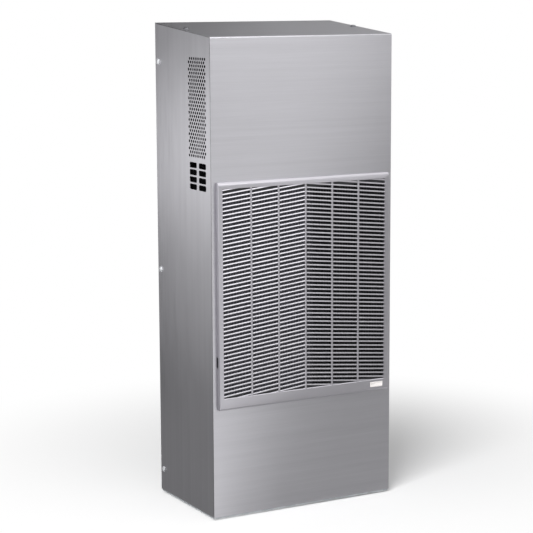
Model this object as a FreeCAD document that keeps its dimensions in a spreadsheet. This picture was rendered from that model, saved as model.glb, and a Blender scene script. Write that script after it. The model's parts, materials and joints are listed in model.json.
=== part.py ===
"""Side-mount enclosure air conditioner, in millimetres.

The origin is at the middle of the footprint, +Z is up and the intake grille faces -Y.
"""
import FreeCAD
import Part
import Sketcher
import math
import operator
import os

Vector = FreeCAD.Vector
doc = FreeCAD.newDocument("enclosure_air_conditioner")
sheet = doc.addObject("Spreadsheet::Sheet", "Sizes")
pieces = []
OPERATIONS = {"+": operator.add, "-": operator.sub, "*": operator.mul, "/": operator.truediv}


# Sizes that remember the sheet formula they come from

class Size:
    """A number from the sheet, or worked out from such numbers, with its formula."""

    def __init__(self, value, formula):
        self.value = value
        self.formula = formula

    def __add__(self, other):
        return combine(self, "+", other)

    def __radd__(self, other):
        return combine(other, "+", self)

    def __sub__(self, other):
        return combine(self, "-", other)

    def __rsub__(self, other):
        return combine(other, "-", self)

    def __mul__(self, other):
        return combine(self, "*", other)

    def __rmul__(self, other):
        return combine(other, "*", self)

    def __truediv__(self, other):
        return combine(self, "/", other)

    def __neg__(self):
        return combine(0, "-", self)


def as_size(number):
    if isinstance(number, Size):
        return number
    return Size(float(number), repr(number))


def combine(left, sign, right):
    left = as_size(left)
    right = as_size(right)
    formula = f"({left.formula} {sign} {right.formula})"
    return Size(OPERATIONS[sign](left.value, right.value), formula)


def size(name, number):
    """Put one driving dimension in the next row of the sheet."""
    size.row += 1
    sheet.set(f"A{size.row}", name)
    sheet.set(f"B{size.row}", str(number))
    sheet.setAlias(f"B{size.row}", name)
    doc.recompute()
    return Size(float(sheet.get(name)), f"Sizes.{name}")


size.row = 0


# Driving dimensions: case

case_width = size("case_width", 388.0)
case_depth = size("case_depth", 226.0)
front_height = size("front_height", 891.5)
roof_rise = size("roof_rise", 22.5)
metal = size("metal", 1.5)
base_drop = size("base_drop", 3.0)
bend_radius = size("bend_radius", 3.0)
seam = size("seam", 0.4)
fit = size("fit", 0.1)
panel_flange = size("panel_flange", 12.0)
roof_flange = size("roof_flange", 20.0)
pan_flange = size("pan_flange", 22.0)
rail_depth = size("rail_depth", 26.0)
rail_lip = size("rail_lip", 15.0)
flange_setback = size("flange_setback", 30.0)

# Driving dimensions: vents in the side panels

hole_radius = size("hole_radius", 2.8)
hole_pitch = size("hole_pitch", 8.55)
hole_row_pitch = size("hole_row_pitch", 6.58)
hole_count = 8
hole_row_count = 28
hole_inset = size("hole_inset", 21.5)
hole_drop = size("hole_drop", 40.7)
slot_vent_length = size("slot_vent_length", 28.5)
slot_vent_height = size("slot_vent_height", 10.5)
slot_vent_corner = size("slot_vent_corner", 3.0)
slot_vent_pitch = size("slot_vent_pitch", 13.4)
slot_vent_columns = (size("slot_vent_front", 34.2), size("slot_vent_rear", 71.1))
slot_vent_drop = size("slot_vent_drop", 235.7)
slot_vent_count = 4

# Driving dimensions: screws of the case

screw_radius = size("screw_radius", 2.5)
screw_head_radius = size("screw_head_radius", 5.8)
screw_head_height = size("screw_head_height", 3.2)
screw_head_crown = size("screw_head_crown", 3.4)
screw_length = size("screw_length", 12.0)
screw_clearance = size("screw_clearance", 0.5)
drill_depth = size("drill_depth", 6.0)
side_screw_inset = size("side_screw_inset", 12.4)
side_screw_low = size("side_screw_low", 45.8)
side_screw_middle = size("side_screw_middle", 445.0)
side_screw_drop = size("side_screw_drop", 50.5)
roof_screw_inset = size("roof_screw_inset", 12.0)
roof_screw_gap = size("roof_screw_gap", 6.0)

# Driving dimensions: intake grille and filter

grille_width = size("grille_width", 369.0)
grille_height = size("grille_height", 424.0)
grille_foot = size("grille_foot", 208.0)
grille_proud = size("grille_proud", 9.0)
grille_face = size("grille_face", 3.0)
grille_wall = size("grille_wall", 2.5)
grille_bevel = size("grille_bevel", 2.5)
grille_seat = size("grille_seat", 0.25)
field_side = size("field_side", 9.3)
field_foot = size("field_foot", 22.5)
field_head = size("field_head", 11.9)
bar_width = size("bar_width", 3.8)
bar_share = size("bar_share", 0.1655)
column_count = 6
slat_pitch = size("slat_pitch", 7.68)
slot_height = size("slot_height", 4.8)
slat_rise = size("slat_rise", 0.108)
slot_phase = size("slot_phase", 3.2)
notch_rise = size("notch_rise", 80.0)
notch_height = size("notch_height", 20.0)
notch_depth = size("notch_depth", 3.0)
badge_width = size("badge_width", 28.2)
badge_height = size("badge_height", 9.8)
badge_thick = size("badge_thick", 1.0)
badge_foot = size("badge_foot", 7.5)
badge_side = size("badge_side", 2.9)
badge_gap = size("badge_gap", 0.3)
clip_inset = size("clip_inset", 44.5)
clip_width = size("clip_width", 10.0)
clip_thick = size("clip_thick", 5.0)
clip_reach = size("clip_reach", 7.0)
clip_clearance = size("clip_clearance", 0.8)
clip_low = size("clip_low", 12.0)
clip_high = size("clip_high", 8.5)
filter_gap = size("filter_gap", 1.0)
filter_low = size("filter_low", 20.0)
filter_high = size("filter_high", 11.4)
filter_rim = size("filter_rim", 7.0)
filter_thick = size("filter_thick", 4.5)
opening_side = size("opening_side", 24.5)
opening_low = size("opening_low", 35.0)
opening_head = size("opening_head", 37.0)

# Driving dimensions: back plate, gasket and mounting inserts

gasket_proud = size("gasket_proud", 3.0)
gasket_inset = size("gasket_inset", 6.0)
gasket_width = size("gasket_width", 14.0)
insert_spread = size("insert_spread", 320.0)
insert_low = size("insert_low", 40.0)
insert_middle = size("insert_middle", 460.0)
insert_drop = size("insert_drop", 37.0)
insert_radius = size("insert_radius", 5.5)
insert_bore = size("insert_bore", 4.0)
insert_length = size("insert_length", 14.0)
insert_flange = size("insert_flange", 8.0)
insert_lip = size("insert_lip", 1.0)
supply_width = size("supply_width", 256.0)
supply_foot = size("supply_foot", 106.0)
supply_height = size("supply_height", 284.0)

# Driving dimensions: partition, coils and ducts

insulation_thick = size("insulation_thick", 6.0)
insulation_width = size("insulation_width", 320.0)
insulation_foot = size("insulation_foot", 130.0)
insulation_drop = size("insulation_drop", 14.5)
tube_radius = size("tube_radius", 4.5)
tube_pitch = size("tube_pitch", 30.0)
row_pitch = size("row_pitch", 18.0)
row_inset = size("row_inset", 10.0)
coil_depth = size("coil_depth", 38.0)
tube_stub = size("tube_stub", 9.0)
condenser_width = size("condenser_width", 300.0)
condenser_depth = size("condenser_depth", 28.0)
condenser_foot = size("condenser_foot", 222.0)
condenser_passes = 12
evaporator_width = size("evaporator_width", 280.0)
evaporator_gap = size("evaporator_gap", 10.5)
evaporator_foot = size("evaporator_foot", 92.0)
evaporator_passes = 10
coil_margin = size("coil_margin", 17.0)
shelf_gap = size("shelf_gap", 13.0)
tray_foot = size("tray_foot", 66.0)
tray_height = size("tray_height", 22.0)
tray_lap = size("tray_lap", 30.0)
tray_lead = size("tray_lead", 10.0)
drain_radius = size("drain_radius", 8.0)
drain_bore = size("drain_bore", 6.0)
drain_side = size("drain_side", -100.0)
drain_gap = size("drain_gap", 29.5)

# Driving dimensions: fans

fan_rise = size("fan_rise", 164.0)
condenser_eye_gap = size("condenser_eye_gap", 7.0)
evaporator_eye_gap = size("evaporator_eye_gap", 21.0)
motor_radius = size("motor_radius", 45.0)
motor_length = size("motor_length", 30.0)
motor_boss_radius = size("motor_boss_radius", 14.0)
motor_boss_length = size("motor_boss_length", 4.0)
shaft_radius = size("shaft_radius", 5.0)
shaft_running = size("shaft_running", 0.05)
shaft_seat = size("shaft_seat", 0.02)
shaft_end_gap = size("shaft_end_gap", 4.0)
shaft_past_hub = size("shaft_past_hub", 4.0)
impeller_radius = size("impeller_radius", 96.0)
impeller_eye = size("impeller_eye", 64.0)
impeller_depth = size("impeller_depth", 40.0)
impeller_sheet = size("impeller_sheet", 2.0)
impeller_gap = size("impeller_gap", 4.0)
hub_radius = size("hub_radius", 16.0)
hub_length = size("hub_length", 24.0)
blade_count = 9
blade_reach = size("blade_reach", 84.0)
blade_lean = size("blade_lean", 42.0)
ring_wall = size("ring_wall", 2.0)
ring_flange = size("ring_flange", 86.0)
ring_eye_gap = size("ring_eye_gap", 3.5)
ring_entry = size("ring_entry", 4.0)
bracket_depth = size("bracket_depth", 8.0)
bracket_sheet = size("bracket_sheet", 2.0)
bracket_margin = size("bracket_margin", 10.0)
bracket_window = size("bracket_window", 22.0)
bracket_window_gap = size("bracket_window_gap", 4.4)
standoff_spread = size("standoff_spread", 190.0)
standoff_radius = size("standoff_radius", 5.0)

# Driving dimensions: compressor and refrigerant lines

compressor_side_gap = size("compressor_side_gap", 27.5)
compressor_front_gap = size("compressor_front_gap", 8.5)
compressor_radius = size("compressor_radius", 50.0)
compressor_top = size("compressor_top", 188.0)
compressor_crown = size("compressor_crown", 14.0)
foot_width = size("foot_width", 120.0)
foot_length = size("foot_length", 96.0)
foot_inset = size("foot_inset", 12.0)
foot_sheet = size("foot_sheet", 3.0)
grommet_height = size("grommet_height", 14.0)
grommet_radius = size("grommet_radius", 10.0)
stud_radius = size("stud_radius", 3.0)
stud_nut_radius = size("stud_nut_radius", 6.5)
stud_nut_height = size("stud_nut_height", 5.0)
cover_width = size("cover_width", 30.0)
cover_height = size("cover_height", 50.0)
cover_foot = size("cover_foot", 100.0)
cover_reach = size("cover_reach", 14.0)
discharge_radius = size("discharge_radius", 4.0)
discharge_inset = size("discharge_inset", 10.5)
discharge_stub = size("discharge_stub", 8.0)
suction_radius = size("suction_radius", 6.0)
suction_stub = size("suction_stub", 15.0)
suction_bend = size("suction_bend", 14.0)
line_inset = size("line_inset", 16.5)
line_bend = size("line_bend", 10.0)
line_rise = size("line_rise", 20.0)
drier_gap = size("drier_gap", 29.0)
drier_radius = size("drier_radius", 11.0)
drier_foot = size("drier_foot", 300.0)
drier_length = size("drier_length", 120.0)
drier_neck = size("drier_neck", 14.0)
capillary_radius = size("capillary_radius", 1.6)
capillary_height = size("capillary_height", 262.0)
capillary_bend = size("capillary_bend", 8.0)
grommet_wall = size("grommet_wall", 3.0)
grommet_lip = size("grommet_lip", 2.0)

# Driving dimensions: electrical parts

box_side_gap = size("box_side_gap", 14.5)
box_width = size("box_width", 148.0)
box_depth = size("box_depth", 12.0)
box_length = size("box_length", 88.0)
box_height = size("box_height", 168.0)
box_sheet = size("box_sheet", 1.2)
lid_lap = size("lid_lap", 4.0)
capacitor_radius = size("capacitor_radius", 22.0)
capacitor_height = size("capacitor_height", 90.0)
capacitor_inset = size("capacitor_inset", 34.0)
contactor_width = size("contactor_width", 46.0)
contactor_depth = size("contactor_depth", 50.0)
contactor_height = size("contactor_height", 60.0)
contactor_foot = size("contactor_foot", 90.0)
terminal_width = size("terminal_width", 60.0)
terminal_depth = size("terminal_depth", 20.0)
terminal_height = size("terminal_height", 22.0)
terminal_foot = size("terminal_foot", 40.0)
terminal_count = 5
terminal_well = size("terminal_well", 3.5)
gland_side = size("gland_side", 110.0)
gland_height = size("gland_height", 44.0)
gland_radius = size("gland_radius", 11.0)
gland_bore = size("gland_bore", 7.0)
gland_flange = size("gland_flange", 15.0)
gland_lip = size("gland_lip", 2.0)
gland_length = size("gland_length", 20.0)
locknut_radius = size("locknut_radius", 16.0)
locknut_thick = size("locknut_thick", 5.0)
thermostat_side = size("thermostat_side", 120.0)
thermostat_height = size("thermostat_height", 560.0)
cup_width = size("cup_width", 52.0)
cup_depth = size("cup_depth", 17.0)
cup_rim = size("cup_rim", 6.0)
cup_sheet = size("cup_sheet", 1.2)
dial_radius = size("dial_radius", 18.0)
dial_thick = size("dial_thick", 12.0)
dial_gap = size("dial_gap", 1.5)
dial_grip = size("dial_grip", 5.0)
dial_grip_height = size("dial_grip_height", 5.0)
spindle_radius = size("spindle_radius", 3.0)
spindle_reach = size("spindle_reach", 10.0)
thermostat_box = size("thermostat_box", 44.0)
thermostat_length = size("thermostat_length", 30.0)

# Planes that the pieces share

half = case_width / 2
front = grille_proud - (grille_proud + case_depth + gasket_proud) / 2
back = front + case_depth
inner_half = half - metal
cover_back = front + metal
plate_front = back - metal
front_top = base_drop + front_height
back_top = front_top + roof_rise
grille_nose = front - grille_proud
grille_back = grille_nose + grille_face
grille_top = grille_foot + grille_height
field_width = grille_width - 2 * field_side
field_height = grille_height - field_foot - field_head
bar_pitch = field_width * bar_share
clip_side = grille_width / 2 - clip_inset
side_screw_heights = (side_screw_low, side_screw_middle, front_top - side_screw_drop)
insert_heights = (insert_low, insert_middle, back_top - insert_drop)
fan_stack = motor_length + motor_boss_length + impeller_gap + impeller_depth
bracket_front = front + bracket_depth
bracket_back = bracket_front + bracket_sheet
deck_front = bracket_back + fan_stack + condenser_eye_gap
partition_back = plate_front - evaporator_eye_gap - fan_stack
partition_front = partition_back - metal
roof_screw_y = partition_front - roof_screw_gap
condenser_front = front + condenser_depth
evaporator_front = plate_front - evaporator_gap - coil_depth
shelf_height = condenser_foot + 2 * coil_margin + (condenser_passes - 1) * tube_pitch + shelf_gap
fan_height = shelf_height + fan_rise
drain_y = plate_front - drain_gap
drier_y = partition_front - drier_gap
compressor_x = compressor_side_gap + compressor_radius - inner_half
compressor_y = cover_back + compressor_front_gap + compressor_radius
line_x = line_inset - inner_half
suction_height = compressor_top + line_rise


def roof(depth):
    """Height of the sloped top at a distance along Y."""
    return front_top + roof_rise * (depth - front) / case_depth


# Drawing helpers

def bind(thing, target, number):
    thing.setExpression(target, as_size(number).formula)


def place(thing, x, y, z):
    bind(thing, "Placement.Base.x", x)
    bind(thing, "Placement.Base.y", y)
    bind(thing, "Placement.Base.z", z)


def block(name, x, y, z):
    """A rectangular solid between pairs of planes."""
    solid = doc.addObject("Part::Box", name)
    bind(solid, "Length", as_size(x[1]) - x[0])
    bind(solid, "Width", as_size(y[1]) - y[0])
    bind(solid, "Height", as_size(z[1]) - z[0])
    place(solid, x[0], y[0], z[0])
    return solid


def rod(name, axis, centre, radius, ends):
    """A round bar along X, Y or Z; centre holds its other two coordinates."""
    turns = {
        "X": FreeCAD.Rotation(Vector(0, 1, 0), 90),
        "Y": FreeCAD.Rotation(Vector(1, 0, 0), -90),
        "Z": FreeCAD.Rotation(),
    }
    solid = doc.addObject("Part::Cylinder", name)
    solid.Placement = FreeCAD.Placement(Vector(), turns[axis])
    bind(solid, "Radius", radius)
    bind(solid, "Height", as_size(ends[1]) - ends[0])
    corner = list(centre)
    corner.insert("XYZ".index(axis), ends[0])
    place(solid, *corner)
    return solid


def between(first, second):
    """Two planes in rising order."""
    return sorted((first, second), key=lambda plane: plane.value)


def group(name, solids):
    gathered = doc.addObject("Part::Compound", name)
    gathered.Links = solids
    return gathered


def join(name, solids):
    joined = doc.addObject("Part::MultiFuse", name)
    joined.Shapes = solids
    return joined


def cut(name, base, tools):
    carved = doc.addObject("Part::Cut", name)
    carved.Base = base
    carved.Tool = tools[0] if len(tools) == 1 else group(name + "_tools", tools)
    return carved


def made(name, shape):
    """A shape worked out in code, kept as an object of the document."""
    feature = doc.addObject("Part::Feature", name)
    feature.Shape = shape
    feature.Placement = FreeCAD.Placement()
    return feature


def piece(name, thing):
    """Name a finished sub-part for its file."""
    thing.Label = name
    pieces.append((name, thing))


def body_named(name):
    return doc.addObject("PartDesign::Body", name + "_body")


def origin_feature(body, role):
    return [feature for feature in body.Origin.OriginFeatures if feature.Role == role][0]


def sketch_on(body, plane, offset):
    """A sketch on an origin plane, moved along the plane's normal."""
    sketch = body.newObject("Sketcher::SketchObject", body.Name + "_sketch")
    sketch.AttachmentSupport = [(origin_feature(body, plane + "_Plane"), "")]
    sketch.MapMode = "FlatFace"
    bind(sketch, "AttachmentOffset.Base.z", offset)
    return sketch


def pin(sketch, curve, point, across, up):
    """Hold one point of a curve at bound distances from the sketch origin."""
    for kind, distance in (("DistanceX", as_size(across)), ("DistanceY", as_size(up))):
        rule = sketch.addConstraint(Sketcher.Constraint(kind, -1, 1, curve, point, distance.value))
        bind(sketch, f"Constraints[{rule}]", distance)


def polygon(sketch, corners):
    """A closed outline of straight edges."""
    first = sketch.GeometryCount
    count = len(corners)
    points = [Vector(as_size(u).value, as_size(v).value, 0) for u, v in corners]
    for i in range(count):
        sketch.addGeometry(Part.LineSegment(points[i], points[(i + 1) % count]))
    for i in range(count):
        sketch.addConstraint(Sketcher.Constraint("Coincident", first + i, 2, first + (i + 1) % count, 1))
    for i in range(count):
        pin(sketch, first + i, 1, *corners[i])


def rectangle(sketch, across, up):
    polygon(sketch, [(across[0], up[0]), (across[1], up[0]), (across[1], up[1]), (across[0], up[1])])


def circle(sketch, across, up, radius):
    middle = Vector(as_size(across).value, as_size(up).value, 0)
    curve = sketch.addGeometry(Part.Circle(middle, Vector(0, 0, 1), as_size(radius).value))
    pin(sketch, curve, 3, across, up)
    rule = sketch.addConstraint(Sketcher.Constraint("Radius", curve, as_size(radius).value))
    bind(sketch, f"Constraints[{rule}]", radius)


def span_on(plane, ends):
    """The ends of a span measured along a plane's normal, which is -Y for the XZ plane."""
    if plane == "XZ":
        return -as_size(ends[1]), -as_size(ends[0])
    return as_size(ends[0]), as_size(ends[1])


def pad(body, plane, ends, draw, *outline):
    low, high = span_on(plane, ends)
    sketch = sketch_on(body, plane, low)
    draw(sketch, *outline)
    feature = body.newObject("PartDesign::Pad", body.Name + "_pad")
    feature.Profile = sketch
    bind(feature, "Length", high - low)
    return feature


def pocket(body, plane, ends, draw, *outline):
    """Cut an outline away between two planes, and make sure that it cuts."""
    doc.recompute()
    before = body.Shape.Volume
    low, high = span_on(plane, ends)
    sketch = sketch_on(body, plane, high)
    draw(sketch, *outline)
    feature = body.newObject("PartDesign::Pocket", body.Name + "_pocket")
    feature.Profile = sketch
    bind(feature, "Length", high - low)
    doc.recompute()
    if body.Shape.Volume >= before:
        raise RuntimeError(f"{feature.Name} cut nothing")
    return feature


def turned(name, axis, outlines):
    """A body of revolution about its own Y or Z; outlines hold (radius, distance along) corners."""
    body = body_named(name)
    plane = {"Y": "XY", "Z": "XZ"}[axis]
    for outline in outlines:
        sketch = sketch_on(body, plane, 0)
        polygon(sketch, outline)
        feature = body.newObject("PartDesign::Revolution", name + "_turn")
        feature.Profile = sketch
        feature.ReferenceAxis = (sketch, ["V_Axis"])
        feature.Angle = 360
    return body


def edges_along_x(shape, depth, height):
    """Names of the edges that run along X at a place in the YZ plane."""
    reach = 0.01
    names = []
    for number, edge in enumerate(shape.Edges, 1):
        middle = edge.CenterOfMass
        straight = edge.BoundBox.YLength < reach and edge.BoundBox.ZLength < reach
        if straight and abs(middle.y - depth) < reach and abs(middle.z - height) < reach:
            names.append(f"Edge{number}")
    return names


def line_path(corners, bend):
    """A wire of straight runs through corners, joined by tangent arcs."""
    points = [Vector(*[as_size(number).value for number in corner]) for corner in corners]
    edges = []
    start = points[0]
    for before, corner, after in zip(points, points[1:], points[2:]):
        into = (corner - before).normalize()
        out = (after - corner).normalize()
        trim = bend.value * math.tan(into.getAngle(out) / 2)
        arc_start = corner - into * trim
        arc_end = corner + out * trim
        inward = (out - into).normalize()
        sag = bend.value * (1 / math.cos(into.getAngle(out) / 2) - 1)
        edges.append(Part.LineSegment(start, arc_start).toShape())
        edges.append(Part.Arc(arc_start, corner + inward * sag, arc_end).toShape())
        start = arc_end
    edges.append(Part.LineSegment(start, points[-1]).toShape())
    return Part.Wire(edges)


def round_bar(wire, radius):
    """A solid of round section along a wire, checked against its length."""
    first = wire.Edges[0]
    heading = first.tangentAt(first.FirstParameter)
    section = Part.Wire(Part.makeCircle(radius.value, wire.Vertexes[0].Point, heading))
    solid = wire.makePipeShell([section], True, False)
    expected = math.pi * radius.value ** 2 * wire.Length
    if abs(solid.Volume - expected) > 0.01 * expected:
        raise RuntimeError("a line's volume does not match its length")
    return solid


# Fasteners

def screw_body(name):
    """A flanged pan-head screw with its seat at the origin and its head towards +Z."""
    rim = screw_head_height / 3
    return turned(name, "Z", [[
        (0, -screw_length), (screw_radius, -screw_length), (screw_radius, 0), (screw_head_radius, 0),
        (screw_head_radius, rim), (screw_head_crown, screw_head_height), (0, screw_head_height)]])


def make_case_screws():
    """Three screws in each side, and one in each end of the sloped top."""
    screws = []
    slope = roof_rise / case_depth
    for side in (-1, 1):
        for number, height in enumerate(side_screw_heights):
            screw = screw_body(f"side_screw_{side}_{number}")
            turn = FreeCAD.Rotation(Vector(0, 1, 0), 90 * side)
            screw.Placement = FreeCAD.Placement(Vector(), turn)
            place(screw, side * half, back - side_screw_inset, height)
            screws.append(screw)
        screw = screw_body(f"top_screw_{side}")
        screw.Placement = FreeCAD.Placement(Vector(), FreeCAD.Rotation(Vector(1, 0, 0), 1))
        screw.setExpression("Placement.Rotation.Angle", f"atan({slope.formula})")
        place(screw, side * (half - roof_screw_inset), roof_screw_y, roof(roof_screw_y))
        screws.append(screw)
    piece("case_screws", group("case_screws", screws))


# Case

def make_front_cover():
    """One bent sheet: the front with its intake opening, and the sloped top."""
    body = body_named("front_cover")
    inner_corner = roof(cover_back) - metal
    pad(body, "YZ", (-half, half), polygon, [
        (front, base_drop), (cover_back, base_drop), (cover_back, inner_corner),
        (back, back_top - metal), (back, back_top), (front, front_top)])
    opening_reach = grille_width / 2 - opening_side
    pocket(body, "XZ", (front, cover_back), rectangle, (-opening_reach, opening_reach),
           (grille_foot + opening_low, grille_top - opening_head))
    for across in (-clip_side, clip_side):
        for height in (grille_foot + clip_low, grille_top - clip_high):
            wide = clip_width / 2 + clip_clearance
            tall = clip_thick / 2 + clip_clearance
            pocket(body, "XZ", (front, cover_back), rectangle,
                   (across - wide, across + wide), (height - tall, height + tall))
    for side in (-1, 1):
        hole_z = (roof(roof_screw_y) - drill_depth, back_top)
        pocket(body, "XY", hole_z, circle, side * (half - roof_screw_inset), roof_screw_y,
               screw_radius + screw_clearance)
    for depth, height, radius in ((front, front_top, bend_radius),
                                  (cover_back, inner_corner, bend_radius - metal)):
        doc.recompute()
        base = body.Tip
        bend = body.newObject("PartDesign::Fillet", "front_cover_bend")
        bend.Base = (base, edges_along_x(base.Shape, depth.value, height.value))
        bind(bend, "Radius", radius)
        body.Tip = bend
    piece("front_cover", body)


def vent_cutter(side):
    """Staggered round holes and two columns of rounded slots, through one side panel."""
    start = (half.value - 2 * metal.value) if side > 0 else (-half.value - metal.value)
    through = Vector(3 * metal.value, 0, 0)
    tools = []
    for row in range(hole_row_count):
        height = front_top.value - hole_drop.value - row * hole_row_pitch.value
        stagger = (row % 2) * hole_pitch.value / 2
        for number in range(hole_count):
            depth = front.value + hole_inset.value + stagger + number * hole_pitch.value
            tools.append(Part.makeCylinder(
                hole_radius.value, through.x, Vector(start, depth, height), Vector(1, 0, 0)))
    top_slot = front_top.value - slot_vent_drop.value - slot_vent_height.value / 2
    for column in slot_vent_columns:
        for row in range(slot_vent_count):
            corner = Vector(start, front.value + column.value - slot_vent_length.value / 2,
                            top_slot - row * slot_vent_pitch.value)
            slot = Part.makeBox(through.x, slot_vent_length.value, slot_vent_height.value, corner)
            upright = [edge for edge in slot.Edges if edge.BoundBox.XLength > metal.value]
            tools.append(slot.makeFillet(slot_vent_corner.value, upright))
    return Part.makeCompound(tools)


def make_side_panel(name, side):
    """A side sheet with vents, a flange behind the front cover and one under the top."""
    body = body_named(name)
    edge = cover_back + seam
    wall = between(side * inner_half, side * half)
    pad(body, "YZ", wall, polygon, [
        (edge, base_drop), (back, base_drop), (back, back_top - metal - seam),
        (edge, roof(edge) - metal - seam)])
    lap = between(side * (inner_half - panel_flange), side * inner_half)
    flange_top = front_top - flange_setback
    pad(body, "XY", (base_drop + flange_setback, flange_top), rectangle, lap,
        (cover_back, cover_back + metal))
    lap = between(side * (inner_half - roof_flange), side * inner_half)
    near = front + flange_setback
    far = back - flange_setback
    pad(body, "YZ", lap, polygon, [
        (near, roof(near) - 2 * metal), (far, roof(far) - 2 * metal),
        (far, roof(far) - metal), (near, roof(near) - metal)])
    hole_z = (roof(near) - drill_depth, back_top)
    pocket(body, "XY", hole_z, circle, side * (half - roof_screw_inset), roof_screw_y,
           screw_radius + screw_clearance)
    tools = [made(name + "_vents", vent_cutter(side))]
    tools.extend(side_screw_holes(name, side))
    piece(name, cut(name, body, tools))


def side_screw_holes(name, side):
    holes = []
    for number, height in enumerate(side_screw_heights):
        ends = between(side * (half + metal), side * (half - drill_depth))
        holes.append(rod(f"{name}_hole_{side}_{number}", "X", (back - side_screw_inset, height),
                         screw_radius + screw_clearance, ends))
    return holes


def make_base_pan():
    """The floor tray, with its edge showing below the panels."""
    wide = (-inner_half, inner_half)
    walls = [block("pan_floor", wide, (cover_back, back), (0, metal)),
             block("pan_front", wide, (cover_back, cover_back + metal), (0, pan_flange))]
    for side in (-1, 1):
        across = between(side * inner_half, side * (inner_half - metal))
        walls.append(block(f"pan_side_{side}", across, (cover_back, back - flange_setback), (0, pan_flange)))
    drain = rod("pan_drain", "Z", (drain_side, drain_y), drain_bore, (-metal, 2 * metal))
    piece("base_pan", cut("base_pan", join("pan_walls", walls), [drain]))


def make_corner_rails():
    """Angle rails in the rear corners: the side screws and the back plate hold to them."""
    rails = []
    rise = (metal, back_top - flange_setback)
    for side in (-1, 1):
        body = body_named(f"corner_rail_{side}")
        flat = between(side * inner_half, side * (inner_half - metal))
        lip = between(side * inner_half, side * (inner_half - rail_lip))
        pad(body, "XY", rise, rectangle, flat, (back - rail_depth, plate_front))
        pad(body, "XY", rise, rectangle, lip, (plate_front - metal, plate_front))
        rails.append(cut(f"corner_rail_cut_{side}", body, side_screw_holes("corner_rail", side)))
    piece("corner_rails", group("corner_rails", rails))


def make_back_plate():
    """The rear sheet with the round return opening and the supply opening."""
    body = body_named("back_plate")
    wide = (-inner_half, inner_half)
    top = roof(plate_front) - metal
    pad(body, "XZ", (plate_front, back), rectangle, wide, (metal, top))
    through = (plate_front, back)
    pocket(body, "XZ", through, circle, 0, fan_height, impeller_eye - ring_eye_gap)
    supply_z = (supply_foot, supply_foot + supply_height)
    pocket(body, "XZ", through, rectangle, (-supply_width / 2, supply_width / 2), supply_z)
    thermostat_x = (thermostat_side - cup_width / 2, thermostat_side + cup_width / 2)
    thermostat_z = (thermostat_height - cup_width / 2, thermostat_height + cup_width / 2)
    pocket(body, "XZ", through, rectangle, thermostat_x, thermostat_z)
    pocket(body, "XZ", through, circle, gland_side, gland_height, gland_radius + fit)
    for across in (-insert_spread / 2, insert_spread / 2):
        for height in insert_heights:
            pocket(body, "XZ", through, circle, across, height, insert_radius + fit)
    piece("back_plate", body)


def make_mounting_gasket():
    """A foam frame round the edge of the back plate."""
    body = body_named("mounting_gasket")
    outer_x = half - gasket_inset
    inner_x = outer_x - gasket_width
    low = base_drop + gasket_inset
    high = back_top - gasket_inset
    spread = (back, back + gasket_proud)
    pad(body, "XZ", spread, rectangle, (-outer_x, outer_x), (low, high))
    pocket(body, "XZ", spread, rectangle, (-inner_x, inner_x), (low + gasket_width, high - gasket_width))
    piece("mounting_gasket", body)


def make_mounting_inserts():
    """Threaded inserts, seated on the outer face of the back plate."""
    inserts = []
    for across in (-insert_spread / 2, insert_spread / 2):
        for number, height in enumerate(insert_heights):
            insert = turned(f"insert_{number}", "Y", [[
                (insert_bore, -insert_length), (insert_radius, -insert_length), (insert_radius, 0),
                (insert_flange, 0), (insert_flange, insert_lip), (insert_bore, insert_lip)]])
            place(insert, across, back, height)
            inserts.append(insert)
    piece("mounting_inserts", group("mounting_inserts", inserts))


def make_partition():
    """The sheet between the warm front and the cold rear compartment."""
    wide = inner_half - metal - fit
    top = roof(partition_front) - 2 * metal - fit
    wall = block("partition_wall", (-wide, wide), (partition_front, partition_back), (metal, top))
    through = (partition_front - metal, partition_back + metal)
    holes = [rod("partition_suction", "Y", (line_x, suction_height), suction_radius + grommet_wall + fit,
                 through),
             rod("partition_capillary", "Y", (line_x, capillary_height),
                 capillary_radius + grommet_wall + fit, through)]
    piece("partition", cut("partition", wall, holes))
    foam = block("foam_sheet", (-insulation_width / 2, insulation_width / 2),
                 (partition_back, partition_back + insulation_thick),
                 (insulation_foot, front_top - insulation_drop))
    space = rod("foam_motor_hole", "Y", (0, fan_height), motor_radius + insulation_thick,
                (partition_front, partition_back + 2 * insulation_thick))
    piece("partition_insulation", cut("partition_insulation", foam, [space]))


# Intake grille and filter

def slat_columns():
    """Left and right end of each column of slots, between the upright bars."""
    reach = field_width.value / 2
    thin = bar_width.value / 2
    bars = [(number - column_count / 2) * bar_pitch.value for number in range(1, column_count)]
    lefts = [-reach] + [middle + thin for middle in bars]
    rights = [middle - thin for middle in bars] + [reach]
    return list(zip(lefts, rights))


def slat_slots():
    """Slots between the slats: a shallow chevron in each column, trimmed to the slot field."""
    low = grille_foot.value + field_foot.value
    high = low + field_height.value
    rise_room = field_width.value * slat_rise.value
    count = int((field_height.value + 2 * rise_room) / slat_pitch.value) + 2
    slots = []
    for left, right in slat_columns():
        for step in range(count):
            middle = low + slot_phase.value + step * slat_pitch.value
            ends = [(x, middle - abs(x) * slat_rise.value) for x in (left, right)]
            outline = slot_outline(ends, low, high)
            if outline:
                slots.append(slot_prism(outline))
    return Part.makeCompound(slots)


def slot_outline(ends, low, high):
    """Corners of one slot, kept between two heights."""
    reach = slot_height.value / 2
    (left, left_z), (right, right_z) = ends
    corners = [(left, left_z - reach), (right, right_z - reach),
               (right, right_z + reach), (left, left_z + reach)]
    for limit, inside in ((low, 1), (high, -1)):
        kept = []
        for (x0, z0), (x1, z1) in zip(corners, corners[1:] + corners[:1]):
            if (z0 - limit) * inside >= 0:
                kept.append((x0, z0))
            if (z0 - limit) * (z1 - limit) < 0:
                share = (limit - z0) / (z1 - z0)
                kept.append((x0 + share * (x1 - x0), limit))
        corners = kept
    return corners if len(corners) > 2 else None


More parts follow.
